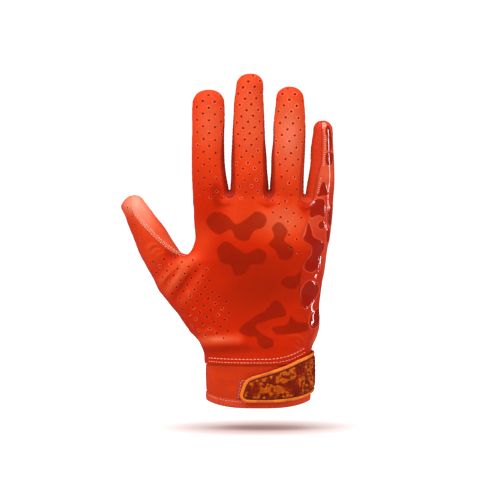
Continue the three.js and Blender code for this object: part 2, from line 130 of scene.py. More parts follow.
def formDistance(name, x, y, z):
    # About the distance to the form in mm, only near it
    table = gloveForm[name]["table"]
    near = (x > table[:, 1].min() - 9) & (x < table[:, 2].max() + 9)
    near &= (z > table[0, 0] - 14) & (z < gloveForm[name]["tip"] + 9)
    out = np.full(x.shape, 12.0)
    x, y, z = x[near], y[near], z[near]
    e = 0.04
    g = fullness(name, x, y, z)
    slope = np.sqrt(sum((fullness(name, x + e * a, y + e * b, z + e * c) - g) ** 2
                        for a, b, c in ((1, 0, 0), (0, 1, 0), (0, 0, 1)))) / e
    out[near] = np.clip((g - 1) / np.maximum(slope, 0.02), -12, 12)
    return out


def softMin(a, b, reach):
    h = np.maximum(reach - np.abs(a - b), 0) / reach
    return np.minimum(a, b) - h * h * reach / 4


def gloveDistance(p):
    x, y, z = p[:, 0], p[:, 1], p[:, 2]
    fingers = np.full(x.shape, 12.0)
    for name in ("index", "middle", "ring", "little"):
        fingers = np.minimum(fingers, formDistance(name, x, y, z))
    d = softMin(formDistance("hand", x, y, z), fingers, skinMake["webBlend"])
    return softMin(d, formDistance("thumb", x, y, z), skinMake["thumbBlend"])


def columns(*parts):
    return np.stack(parts, axis=1)


def slopeOf(field, p):
    e = 0.05
    base = field(p)
    slope = np.stack([(field(p + e * axis) - base) / e for axis in np.eye(3)], axis=1)
    return base, slope


def ontoSurface(p, times):
    for _ in range(times):
        d, slope = slopeOf(gloveDistance, p)
        p = p - slope * (d / np.maximum((slope**2).sum(1), 0.05))[:, None]
    return p


def unit(v):
    return v / np.maximum(np.linalg.norm(v, axis=1), 1e-9)[:, None]


def lengthsAlong(line):
    # How far along the line each of its points is
    return np.concatenate([[0], np.cumsum(np.linalg.norm(np.diff(line, axis=0), axis=1))])


def squared(v, power):
    # A cosine or sine bent towards a square for powers below 1
    return np.sign(v) * np.abs(v)**power


keyStep = 10**7  # more than any piece's number of points


def directedEdges(tris):
    return tris[:, [[0, 1], [1, 2], [2, 0]]].reshape(-1, 2).astype(np.int64)


def edgesOf(tris):
    # Each edge once, and the three edges of every triangle
    pairs = np.sort(directedEdges(tris), axis=1)
    keys, ids = np.unique(pairs[:, 0] * keyStep + pairs[:, 1], return_inverse=True)
    return columns(keys // keyStep, keys % keyStep), ids.reshape(-1, 3)


def renumbered(tris, count):
    # Which of the points are in use, and the triangles in their numbers
    used = np.unique(tris)
    number = np.full(count, -1)
    number[used] = np.arange(len(used))
    return used, number[tris]


def twoSided(tris, count):
    # Closes a sheet of points and its copy of so many points into one body, with a rim between them
    edges = directedEdges(tris)
    keys = edges[:, 0] * keyStep + edges[:, 1]
    a, b = edges[~np.isin(edges[:, 1] * keyStep + edges[:, 0], keys)].T
    rim = np.vstack([columns(b, a, a + count), columns(b, a + count, b + count)])
    return np.vstack([tris, tris[:, ::-1] + count, rim])


def surfaceNet(step):
    # Points in the cells that the surface crosses, joined across every edge it crosses
    axes = [np.arange(a, b, step) for a, b in skinMake["box"]]
    shape = tuple(len(a) for a in axes)
    grid = np.stack(np.meshgrid(*axes, indexing="ij"), axis=-1).reshape(-1, 3)
    d = gloveDistance(grid).reshape(shape)
    inside = d < 0
    cells = tuple(n - 1 for n in shape)
    total = np.zeros(cells + (3,))
    count = np.zeros(cells)
    crossings = []
    for axis in range(3):
        low = [slice(None)] * 3
        high = [slice(None)] * 3
        low[axis] = slice(0, -1)
        high[axis] = slice(1, None)
        a, b = d[tuple(low)], d[tuple(high)]
        crossed = inside[tuple(low)] != inside[tuple(high)]
        share = np.where(crossed, a / np.where(crossed, a - b, 1), 0)
        crossings.append((crossed, inside[tuple(low)]))
        others = [k for k in range(3) if k != axis]
        for u in (0, 1):
            for v in (0, 1):
                pick = [slice(None)] * 3
                pick[others[0]] = slice(u, u + cells[others[0]])
                pick[others[1]] = slice(v, v + cells[others[1]])
                hit = crossed[tuple(pick)]
                count += hit
                total[..., axis] += hit * share[tuple(pick)]
                total[..., others[0]] += hit * u
                total[..., others[1]] += hit * v
    used = count > 0
    number = np.full(cells, -1)
    number[used] = np.arange(used.sum())
    start = np.stack(np.nonzero(used), axis=1)
    points = (start + total[used] / count[used][:, None]) * step + [a[0] for a in axes]
    quads = []
    for axis in range(3):
        crossed, solidLow = crossings[axis]
        u, v = [(1, 2), (2, 0), (0, 1)][axis]
        at = np.stack(np.nonzero(crossed), axis=1)
        fine = (at[:, u] > 0) & (at[:, v] > 0) & (at[:, u] < cells[u]) & (at[:, v] < cells[v])
        at = at[fine]
        ring = []
        for du, dv in ((1, 1), (0, 1), (0, 0), (1, 0)):
            cell = at.copy()
            cell[:, u] -= du
            cell[:, v] -= dv
            ring.append(number[cell[:, 0], cell[:, 1], cell[:, 2]])
        ring = np.stack(ring, axis=1)
        flip = ~solidLow[at[:, 0], at[:, 1], at[:, 2]]
        ring[flip] = ring[flip][:, ::-1]
        quads.append(ring)
    quads = np.vstack(quads)
    p = points[quads]
    short = ((p[:, 0] - p[:, 2])**2).sum(1) < ((p[:, 1] - p[:, 3])**2).sum(1)
    one, other = quads[:, [[0, 1, 2], [0, 2, 3]]], quads[:, [[0, 1, 3], [1, 2, 3]]]
    tris = np.where(short[:, None, None], one, other)
    return points, tris.reshape(-1, 3)


def evenOut(points, tris, rounds):
    # Moves every point towards its neighbours, then back onto the surface
    edges, _ = edgesOf(tris)
    both = np.vstack([edges, edges[:, ::-1]])
    start, end = both.T
    count = np.bincount(start, minlength=len(points))[:, None]
    pull = skinMake["evening"]
    for _ in range(rounds):
        total = np.stack([np.bincount(start, points[end, k], len(points)) for k in range(3)], axis=1)
        points = points * (1 - pull) + pull * total / np.maximum(count, 1)
        points = ontoSurface(points, 1)
    return ontoSurface(points, 1)


def splitEdges(data, tris, edges, ids, chosen, share):
    # Adds a point on each chosen edge and divides the triangles beside it
    added = np.full(len(edges), -1)
    added[chosen] = len(data) + np.arange(chosen.sum())
    a, b = edges[chosen].T
    s = share[chosen][:, None]
    data = np.vstack([data, data[a] * (1 - s) + data[b] * s])
    mid = added[ids]
    count = (mid >= 0).sum(1)
    made = [tris[count == 0]]

    def add(pick, *corners):
        for three in corners:
            made.append(np.stack(three, axis=1)[pick])

    for turn in range(3):
        t0, t1, t2 = np.roll(tris, -turn, axis=1).T
        m0, m1, _ = np.roll(mid, -turn, axis=1).T
        add((count == 1) & (m0 >= 0), (t0, m0, t2), (m0, t1, t2))
        add((count == 2) & (m0 >= 0) & (m1 >= 0), (m0, t1, m1), (t0, m0, m1), (t0, m1, t2))
    t0, t1, t2 = tris.T
    m0, m1, m2 = mid.T
    add(count == 3, (t0, m0, m2), (m0, t1, m1), (m2, m1, t2), (m0, m1, m2))
    return data, np.vstack(made)


def cutWhere(points, tris, value, active=slice(None)):
    # Cuts the active triangles along the line where the value is zero
    value = np.where(np.abs(value) < skinMake["snap"], 0, value)
    edges, ids = edgesOf(tris)
    asked = np.zeros(len(edges), bool)
    asked[ids[active].ravel()] = True
    a, b = value[edges[:, 0]], value[edges[:, 1]]
    chosen = asked & (a * b < 0)
    share = np.where(chosen, a / np.where(chosen, a - b, 1), 0.5)
    return splitEdges(points, tris, edges, ids, chosen, share)


def smoothLine(corners, count):
    # A smooth curve through the corners
    p = np.array(corners, float)
    p = np.vstack([2 * p[0] - p[1], p, 2 * p[-1] - p[-2]])
    u = np.linspace(0, len(corners) - 1, count)
    k = np.minimum(u.astype(int), len(corners) - 2)
    t = (u - k)[:, None]
    a, b, c, d = p[k], p[k + 1], p[k + 2], p[k + 3]
    return 0.5 * (2 * b + (c - a) * t + (2 * a - 5 * b + 4 * c - d) * t**2 + (3 * b - a - 3 * c + d) * t**3)


def outlineDistance(outline, x, z):
    # Distance to a closed outline in the plane of the hand, below zero inside it
    outline = np.asarray(outline, float)
    best = np.full(x.shape, 1e6)
    odd = np.zeros(x.shape, bool)
    for (x0, z0), (x1, z1) in zip(outline, np.roll(outline, -1, axis=0)):
        dx, dz = x1 - x0, z1 - z0
        t = np.clip(((x - x0) * dx + (z - z0) * dz) / max(dx * dx + dz * dz, 1e-9), 0, 1)
        best = np.minimum(best, (x - x0 - dx * t)**2 + (z - z0 - dz * t)**2)
        if dz:
            odd ^= ((z0 > z) != (z1 > z)) & (x < x0 + (z - z0) * dx / dz)
    return np.where(odd, -1, 1) * np.sqrt(best)


def lineDistance(line, x, z):
    # Distance to an open line, and how far along it the nearest point is
    line = np.asarray(line, float)
    best = np.full(x.shape, 1e6)
    along = np.zeros(x.shape)
    run = 0.0
    for (x0, z0), (x1, z1) in zip(line[:-1], line[1:]):
        dx, dz = x1 - x0, z1 - z0
        length = math.hypot(dx, dz)
        t = np.clip(((x - x0) * dx + (z - z0) * dz) / max(length * length, 1e-9), 0, 1)
        d = np.hypot(x - x0 - dx * t, z - z0 - dz * t)
        along = np.where(d < best, run + t * length, along)
        best = np.minimum(best, d)
        run += length
    return best, along / run


def nearOutline(outline, margin, far, x, z):
    # Distance to an outline inside its box and the margin, and the far value elsewhere
    low, high = outline.min(0) - margin, outline.max(0) + margin
    near = (x > low[0]) & (x < high[0]) & (z > low[1]) & (z < high[1])
    value = np.full(x.shape, far)
    value[near] = outlineDistance(outline, x[near], z[near])
    return value


# Seams on the back as points (x, z), and how high each gusset climbs
seams = {
    "thumbArc": [[-94.6, 158], [-94.5, 151], [-93.2, 143], [-88.4, 135.4], [-82, 128.6], [-74.3, 121],
                 [-65.7, 114.2], [-60, 111.2], [-54, 110.3]],
    "littleSeam": [[39.9, 156.5], [41.7, 164.5], [43.6, 171.5], [45.5, 179.3], [46, 190], [46, 201],
                   [45.5, 213]],
    "gripEdge": [[39.9, 156.5], [37.4, 149.5], [36.4, 139.7], [32.6, 129.5], [30.6, 123.6], [35.2, 119.9],
                 [37.9, 115.2], [34.6, 108.4], [31, 101.5], [29.4, 92], [29.6, 81], [32.6, 68], [36.2, 56],
                 [35.2, 44], [34.6, 28]],
    "gripPalm": [31, 45, 59, 75, 91, 107, 122, 136, 148, 160, 172, 184, 194, 202],
    "gussetTop": {"index": 222, "middle": 226, "ring": 219, "little": 200},
    "web": {"index_middle": 157.3, "middle_ring": 158.3, "ring_little": 152.5},
}
aboveThumb = [[-50, 118], [-66, 140], [-80, 158]]
thumbArc = smoothLine(seams["thumbArc"], 50)
littleSeam = smoothLine(seams["littleSeam"], 40)
gripEdge = smoothLine(seams["gripEdge"], 80)


def gussetSeam(finger, side, web):
    share = np.linspace(0, 1, 9)
    z = web + (seams["gussetTop"][finger] - web) * share
    left, right, _, _ = sectionAt(finger, z)
    return columns((left + right) / 2 + side * (0.76 + 0.3 * share**1.5) * (right - left) / 2, z)


webDrop = 4.6  # how far each gusset runs down below the web


def gussetOutline(leftSeam, rightSeam, web, above=()):
    a = np.linspace(0, math.pi, 13)[1:-1]
    half = (rightSeam[0, 0] - leftSeam[0, 0]) / 2
    bottom = columns(leftSeam[0, 0] + half - half * np.cos(a), web - webDrop * np.sin(a))
    parts = [leftSeam[::-1], bottom, rightSeam]
    return np.vstack(parts + ([np.array(above, float)] if above else []))


webs = seams["web"]
ringSeam = gussetSeam("ring", 1, webs["ring_little"])
pairs = {
    "gusset_index_middle": (gussetSeam("index", 1, webs["index_middle"]),
                            gussetSeam("middle", -1, webs["index_middle"]), webs["index_middle"]),
    "gusset_middle_ring": (gussetSeam("middle", 1, webs["middle_ring"]),
                           gussetSeam("ring", -1, webs["middle_ring"]), webs["middle_ring"]),
}
outlines = {name: (gussetOutline(*pair), gussetOutline(*pair)) for name, pair in pairs.items()}
outlines["gusset_ring_little"] = (
    gussetOutline(ringSeam, littleSeam, webs["ring_little"], [[36, 213]]),
    gussetOutline(ringSeam, gussetSeam("little", -1, webs["ring_little"]), webs["ring_little"]))


def gripPalmLine():
    line = []
    for z in seams["gripPalm"]:
        right = sectionAt("hand" if z < 152 else "little", z)[1]
        line.append([right - 7.5 * min(1, (204 - z) / 24), z])
    return line


outlines["grip_edge_panel"] = (np.vstack([gripEdge[::-1], littleSeam[1:], [[62, 213], [62, 28]]]),
                               np.array([[62, 31]] + gripPalmLine() + [[62, 204]]))
outlines["thumb_panel"] = (np.vstack([thumbArc, aboveThumb]),
                           np.array([[-108, 88], [-80, 97], [-66, 104.5], [-54, 110.3]] + aboveThumb
                                    + [[-108, 158]]))


def makeSkin():
    # The whole skin in the flat, cut along its seams, with a label for each triangle
    points, tris = surfaceNet(skinMake["spacing"])
    points = evenOut(points, tris, 3)
    points, tris = cutWhere(points, tris, points[:, 2] - skinMake["bottom"])
    tris = tris[points[tris][:, :, 2].mean(1) > skinMake["bottom"]]
    points, tris = cutWhere(points, tris, points[:, 1] - skinMake["sideY"])
    for back, palm in outlines.values():
        for outline, side in ((back, -1), (palm, 1)):
            value = nearOutline(outline, 3, 9.0, points[:, 0], points[:, 2])
            active = (points[tris][:, :, 1].mean(1) - skinMake["sideY"]) * side > 0
            points, tris = cutWhere(points, tris, value, active)
    middle = points[tris].mean(1)
    onBack = middle[:, 1] < skinMake["sideY"]
    label = np.where(onBack, "back_panel", "palm_panel").astype(object)
    free = np.ones(len(tris), bool)
    for name, (back, palm) in outlines.items():
        here = np.zeros(len(tris), bool)
        for outline, side in ((back, onBack), (palm, ~onBack)):
            here[side] = outlineDistance(outline, middle[side, 0], middle[side, 2]) < 0
        label[here & free] = name
        free &= ~here
    used, tris = renumbered(tris, len(points))
    return points[used], tris, label


skinPoints, skinTris, skinLabels = makeSkin()
print("skin made:", len(skinTris), "triangles", {n: int((skinLabels == n).sum()) for n in set(skinLabels)})

# Folds in the flat: x, z at one end, x, z at the other, width, height out of the back
folds = [
    [-58, 107, -72, 92, 4, 1.2], [-60, 101, -69, 90, 3, -0.8], [-49, 108, -66, 86, 5, 1.4],
    [-47, 99, -61, 82, 4, -0.9], [-44, 97, -56, 79, 5, 0.9], [-43, 47.5, -16, 49.5, 4, 1.3],
    [-40, 41, -10, 42, 4, -0.7], [-32, 158, -30, 147, 4, -1.2], [6.5, 160, 6.5, 148, 4, -1.2],
    [34, 154, 33, 143, 4, -1.0]]
# Finer creases as lines of points, with width and height
creases = [
    {"line": [[-84.2, 115.4], [-78.3, 119.1], [-73.1, 117.6]], "width": 1.3, "height": 0.6},
    {"line": [[-79.7, 111.7], [-76.1, 115.4], [-70.9, 115.0]], "width": 1.2, "height": 0.6},
    {"line": [[-76.8, 108.8], [-71.7, 112.7], [-65.8, 111.7]], "width": 1.2, "height": 0.5},
    {"line": [[-81, 113.5], [-76.5, 117.3], [-72.5, 116.2]], "width": 0.9, "height": -0.5},
    {"line": [[-70.5, 114.5], [-64, 110.5], [-57, 109]], "width": 2.6, "height": -0.9},
    {"line": [[-59.5, 104.5], [-64, 98], [-73, 91.5]], "width": 1.4, "height": 0.5},
    {"line": [[-61.5, 100.5], [-69, 91.5]], "width": 1.1, "height": -0.5},
    {"line": [[-55.5, 106], [-60, 96], [-67, 87]], "width": 1.7, "height": 0.55},
    {"line": [[-50, 98.5], [-60.5, 83.5]], "width": 1.6, "height": -0.55},
    {"line": [[-53, 86.5], [-49.5, 79]], "width": 2.2, "height": 0.45},
    {"line": [[-35, 151.5], [-27, 146.8], [-19.5, 148]], "width": 1.3, "height": -0.55},
    {"line": [[-3, 150], [6, 145.6], [14, 148.5]], "width": 1.3, "height": -0.55},
    {"line": [[26, 148.5], [34, 143], [38, 146]], "width": 1.2, "height": -0.45},
    {"line": [[44.8, 59.5], [41.5, 51], [37.9, 42.5]], "width": 1.1, "height": 0.8},
    {"line": [[40.3, 59], [36.4, 47.5]], "width": 1.2, "height": -0.6},
    {"line": [[-43.7, 54.3], [-36, 56.5], [-30, 54.6]], "width": 1.6, "height": 0.5},
    {"line": [[17.9, 52.6], [27.6, 52.6], [31.6, 50], [33.4, 44]], "width": 0.9, "height": 0.5},
    {"line": [[27, 49.5], [29.5, 45.5]], "width": 0.8, "height": 0.5},
    {"line": [[24.5, 45.5], [28.5, 42.5], [33, 43.5]], "width": 0.9, "height": 0.5},
]
# Small gathers beside the seams, and slow waves over the whole skin
puckers = {"at": 1.6, "reach": 2.4, "pitch": 6.5, "height": 0.05, "sway": 0.085, "swayLength": 19.0}

# Printed and moulded patches in the flat, each a ring of points that is rounded off
patches = {
    "matte": [
        [[-15.1, 56.6], [-4, 66.2], [4.8, 71.3], [11.4, 78.6], [17.3, 73.5], [19.1, 66.9], [12.1, 65.4],
         [2.6, 62.5], [-2.9, 59.5], [1.8, 53.7], [9.2, 50], [9.6, 44.8], [4, 43], [-1.1, 46.3],
         [-2.6, 51.5], [-8.6, 52.2]],
        [[9.7, 58.8], [19.6, 60.6], [22.6, 66.7], [26.3, 62.8], [34.8, 61.2], [35.3, 56.6], [28.5, 54.4],
         [14, 53.2], [10, 55.5]],
        [[15.2, 90.1], [19, 95], [25.7, 96.1], [31, 98.8], [29.5, 92.8], [26.5, 86.7], [21.2, 86.7]],
        [[-39, 136], [-33, 142.5], [-24, 140], [-17, 133.5], [-9, 138], [-2, 143], [5, 138.5], [3, 131.5],
         [-4, 128.5], [-9, 121.5], [-17, 123], [-21, 129.5], [-29, 126], [-35, 129]],
        [[-31, 115], [-25, 121], [-17, 116.5], [-10, 112], [-1, 116], [5, 111.5], [2, 104.5], [-6, 104],
         [-11, 97.5], [-18, 96.5], [-21, 103.5], [-28, 106]],
        [[9, 131], [14.5, 135], [20.5, 128.5], [18, 121.5], [24.5, 116], [22.5, 108.5], [15, 108],
         [11.5, 114.5], [6.5, 118.5], [10.5, 124.5]],
    ],
    "raised": [
        [[37.7, 147.5], [39.2, 151.3], [45.9, 151.6], [47.5, 147.5], [47.1, 139.3], [43, 140.4],
         [37.4, 138.6], [37.2, 143.8]],
        [[50.9, 146.1], [52.7, 147.5], [52, 133.3], [49.7, 136.3]],
        [[43, 133.3], [45.9, 135.9], [47.4, 133.3], [45.9, 130.2], [43.7, 131]],
        [[49, 128.8], [50.9, 130.2], [50.5, 122.7], [49.3, 120.5]],
        [[35.5, 134.7], [37.7, 129.5], [39.2, 124.3], [44.5, 121.3], [47.5, 119], [46.7, 114.5],
         [44.5, 110.8], [43.7, 106.3], [43.7, 101], [40.7, 100.3], [37.7, 98.8], [33, 101],
         [34.2, 106.3], [38, 110.8], [38.7, 116], [37, 119], [32.2, 122.7], [33.8, 127]],
        [[37.7, 92], [42.2, 89], [43, 85.3], [40, 79.2], [33.8, 72.4], [31, 75.5], [30.6, 80],
         [30.9, 85.3], [34, 90.5]],
        [[48.7, 205.8], [50.6, 205.8], [51.5, 203.5], [53.4, 194], [52.4, 187.6], [49.6, 187.6],
         [48.7, 193.2], [49.6, 197.4], [48.2, 199.8]],
        [[48.4, 185.2], [53.6, 185.2], [52.4, 177.7], [48.7, 177.3]],
        [[46.8, 164.6], [49.9, 155.7], [46.2, 154.6], [42.4, 154.6]],
        [[43, 71.5], [44.5, 66], [42.6, 60.5], [38.8, 57.6], [36.6, 61], [37.6, 67]],
    ],
}

# Rows of holes through the back: one hole's place, the two steps of the pattern, and where it runs
holeRows = [
    {"from": (23.2, 215.9), "steps": ((1.3, -8.8), (4.1, 4.2)), "radius": (0.75, 1.15),
     "heights": (152, 232), "area": [[8, 150], [33, 150], [35, 236], [9, 236]]},
    {"from": (-9.6, 216.8), "steps": ((1.2, -8.5), (3.7, 4.5)), "radius": (0.75, 1.15),
     "heights": (152, 240), "area": [[-22, 152], [6, 152], [5, 243], [-21, 243]]},
    {"from": (-37.2, 218.8), "steps": ((0.2, -9.4), (4.3, 4.4)), "radius": (0.68, 1.1),
     "heights": (152, 229), "area": [[-50, 152], [-23, 152], [-25, 231], [-50, 231]]},
    {"from": (-38.4, 65.9), "steps": ((5.05, -3.4), (-3.0, -4.9)), "radius": (0.78, 0.78),
     "heights": (50, 110), "area": [
         [-85, 108], [-47, 111], [-37, 102], [-32, 88], [-22, 76], [-21, 50], [-46, 52], [-60, 72],
         [-72, 92], [-86, 100]]},
    {"from": (20.6, 135.3), "steps": ((5.4, -3.3), (-4.4, -6.2)), "radius": (0.78, 0.78),
     "heights": (110, 150), "area": [
         [7, 150], [36, 146], [35, 134], [29, 124], [28, 112], [20, 112], [19, 130], [8, 138]]},
]
thumbHoles = [(-97.3, 145.8), (-93.9, 139.4), (-91.7, 133.4), (-86.6, 122.4)]
perforation = {"depth": 0.75, "rim": 0.16, "clearOfSeam": 2.0}


# The fingers lean forward above a height, and the thumb stands off towards the palm
lean = {"fingers": 7, "fingersFrom": 150, "fingersTo": 245, "thumb": 13, "thumbFrom": -50, "thumbTo": -104}


def bendAt(x, z):
    up = (z - lean["fingersFrom"]) / (lean["fingersTo"] - lean["fingersFrom"])
    out = (lean["thumbFrom"] - x) / (lean["thumbFrom"] - lean["thumbTo"])
    return lean["fingers"] * np.maximum(0, up)**2 + lean["thumb"] * np.clip(out, 0, 1)**1.6


def ramp(value, low, high):
    t = np.clip((value - low) / (high - low), 0, 1)
    return t * t * (3 - 2 * t)


def bell(value, width):
    return np.exp(-(value / width)**2)


def foldShift(x, y, z):
    shift = np.zeros(x.shape)
    for x0, z0, x1, z1, width, height in folds:
        d, _ = lineDistance([[x0, z0], [x1, z1]], x, z)
        shift += height * bell(d, width)
    for crease in creases:
        d, along = lineDistance(crease["line"], x, z)
        ends = ramp(along, -0.02, 0.25) * ramp(-along, -1.02, -0.75)
        shift += crease["height"] * ends * bell(d, crease["width"])
    return -shift * ramp(-y, 1, 8)


def roundedOff(corners, steps=6):
    p = np.array(corners, float)
    line = smoothLine(np.vstack([p[-2:], p, p[:2]]), (len(p) + 3) * steps + 1)
    return line[steps * 2: -steps]


rounded = {kind: [roundedOff(ring) for ring in rings] for kind, rings in patches.items()}


def patchDistance(kind, x, z):
    return np.minimum.reduce([nearOutline(ring, 4, farAway, x, z) for ring in rounded[kind]])


def treeOf(points):
    tree = KDTree(len(points))
    for k, p in enumerate(points.tolist()):
        tree.insert(p, k)
    tree.balance()
    return tree


def nearest(tree, points):
    # The nearest point's number and its distance, for every point
    found = [tree.find(p)[1:] for p in points.tolist()]
    return np.array([f[0] for f in found]), np.array([f[1] for f in found])


def seamPoints():
    edges, ids = edgesOf(skinTris)
    numbers = {name: k for k, name in enumerate(sorted(set(skinLabels)))}
    label = np.repeat([numbers[n] for n in skinLabels], 3)
    low = np.full(len(edges), 99)
    high = np.full(len(edges), -1)
    np.minimum.at(low, ids.ravel(), label)
    np.maximum.at(high, ids.ravel(), label)
    a, b = edges[low != high].T
    return np.vstack([skinPoints[a] * (1 - s) + skinPoints[b] * s for s in (0, 0.34, 0.67)])


seamTree = treeOf(seamPoints())
backPanelPoints = np.unique(skinTris[skinLabels == "back_panel"])
backPanelPoints = backPanelPoints[skinPoints[backPanelPoints, 1] < -2]


def findHoles():
    # Places on the flat skin of the back panel, clear of its seams
    wanted = [(x, z, 0.55) for x, z in thumbHoles]
    for row in holeRows:
        (ax, az), (bx, bz) = row["steps"]
        i, j = np.meshgrid(np.arange(-30, 31), np.arange(-30, 31))
        x = (row["from"][0] + i * ax + j * bx).ravel()
        z = (row["from"][1] + i * az + j * bz).ravel()
        inArea = outlineDistance(row["area"], x, z) < 0
        radius = np.interp(z, row["heights"], row["radius"])
        wanted += list(zip(x[inArea], z[inArea], radius[inArea]))
    wanted = np.array(wanted)
    flat = skinPoints[backPanelPoints] * [1, 0, 1]
    number, gap = nearest(treeOf(flat), columns(wanted[:, 0], wanted[:, 0] * 0, wanted[:, 1]))
    centre = columns(wanted[:, 0], skinPoints[backPanelPoints[number], 1], wanted[:, 1])
    centre = ontoSurface(centre, 2)
    _, seamGap = nearest(seamTree, centre)
    _, slope = slopeOf(gloveDistance, centre)
    facing = unit(slope)[:, 1] < -0.33
    keep = (gap < 1.2) & (seamGap > perforation["clearOfSeam"]) & facing
    return centre[keep], wanted[keep, 2]


holeCentres, holeRadii = findHoles()
holeTree = treeOf(holeCentres)
print("holes:", len(holeCentres))


def placed(name, data):
    # A new object in the scene
    piece = bpy.data.objects.new(name, data)
    bpy.context.scene.collection.objects.link(piece)
    return piece


def addValues(piece, name, values):
    piece.data.attributes.new(name, "FLOAT", "POINT").data.foreach_set("value", values.astype(np.float32))


def addVectors(piece, name, vectors):
    flat = np.asarray(vectors, np.float32).ravel()
    piece.data.attributes.new(name, "FLOAT_VECTOR", "POINT").data.foreach_set("vector", flat)


def meshFrom(name, points, tris, attributes=None, sharp=50):
    mesh = bpy.data.meshes.new(name)
    mesh.vertices.add(len(points))
    mesh.vertices.foreach_set("co", (np.asarray(points) * metre).astype(np.float32).ravel())
    mesh.loops.add(tris.size)
    mesh.loops.foreach_set("vertex_index", tris.astype(np.int32).ravel())
    mesh.polygons.add(len(tris))
    mesh.polygons.foreach_set("loop_start", np.arange(0, tris.size, tris.shape[1], dtype=np.int32))
    mesh.update(calc_edges=True)
    mesh.validate()
    mesh.shade_smooth()
    mesh.set_sharp_from_angle(angle=math.radians(sharp))
    piece = placed(name, mesh)
    for key, values in (attributes or {}).items():
        addValues(piece, key, values)
    return piece


def panelShell(name):
    # Outer skin, inner skin and the rim between them, as one closed body in the flat
    used, tris = renumbered(skinTris[skinLabels == name], len(skinPoints))
    outer = skinPoints[used]
    _, slope = slopeOf(gloveDistance, outer)
    inner = outer - unit(slope) * skinMake["wall"]
    n = len(outer)
    data = np.vstack([np.column_stack([outer, np.ones(n)]), np.column_stack([inner, np.zeros(n)])])
    return data, twoSided(tris, n)


def refinePanel(data, tris, withHoles):
    # Finer triangles beside the seams, round the holes and along the edges of the patches
    for seamReach, holeReach, limit in skinMake["refining"]:
        outer = np.nonzero(data[:, 3] > 0.99)[0]
        p = data[outer, :3]
        _, d = nearest(seamTree, p)
        wanted = d < seamReach
        edge = np.minimum(np.abs(patchDistance("raised", p[:, 0], p[:, 2])),
                          np.abs(patchDistance("matte", p[:, 0], p[:, 2])) + 0.4)
        wanted |= (edge < seamReach * 0.4) & (p[:, 1] < 0)
        if withHoles:
            k, d = nearest(holeTree, p)
            wanted |= d < holeRadii[k] + holeReach
        near = np.zeros(len(data), bool)
        near[outer] = wanted
        edges, ids = edgesOf(tris)
        length = np.linalg.norm(data[edges[:, 0], :3] - data[edges[:, 1], :3], axis=1)
        chosen = near[edges[:, 0]] & near[edges[:, 1]] & (length > limit)
        data, tris = splitEdges(data, tris, edges, ids, chosen, np.full(len(edges), 0.5))
    return data, tris


def softWaves(x, y, z):
    # Waves of several lengths and directions, so that none shows as a pattern
    chance = np.random.default_rng(7)
    total = np.zeros(x.shape)
    for _ in range(9):
        way = chance.normal(size=3)
        way *= 2 * math.pi / (puckers["swayLength"] * chance.uniform(0.7, 1.7) * np.linalg.norm(way))
        total += np.sin(x * way[0] + y * way[1] + z * way[2] + chance.uniform(0, 6.3))
    return total


# Painted light and shade: where the colour is painted paler as a painted highlight (amount above 0) or
# deeper as painted shade: middle x and z, reach in x and z, amount
paintedLight = {"middle": 0.38, "most": 1.5, "foldHighlightShade": 0.36, "spots": [
    [-38, 208, 15, 34, 0.53], [-8, 212, 15, 47, 0.55], [22, 200, 15, 38, 0.75], [47, 190, 9, 30, 0.35],
    [16, 135, 24, 16, 0.62], [-43, 124, 9, 16, 0.3], [0, 92, 34, 28, -0.42], [-84, 139, 8, 14, 0.5],
    [-95, 149, 9, 9, 1.0], [-80, 114, 9, 12, 0.25], [-31, 50.5, 10, 2.4, 0.4], [-14, 43, 24, 2.6, -0.25],
    [-40, 142, 7, 14, -0.2], [-20, 140, 7, 16, 0.2], [-7, 162, 5, 9, -0.1],
    [20, 154, 6, 7, -0.2], [50, 105, 5, 14, 0.35], [41, 50, 5, 10, 0.3], [49.6, 170, 6, 7, 0.4],
    [42, 150, 4, 4, 0.3], [-28, 150, 4, 4, 0.25], [6, 149, 5, 4, 0.2]]}


def paintedLightAt(x, y, z):
    tone = np.full(x.shape, paintedLight["middle"])
    for x0, z0, dx, dz, amount in paintedLight["spots"]:
        tone += amount * np.exp(-((x - x0) / dx)**2 - ((z - z0) / dz)**2)
    # Fold ridges are painted paler as painted highlights, and fold hollows deeper as painted shade
    return np.clip(tone - paintedLight["foldHighlightShade"] * foldShift(x, y, z), 0, paintedLight["most"])


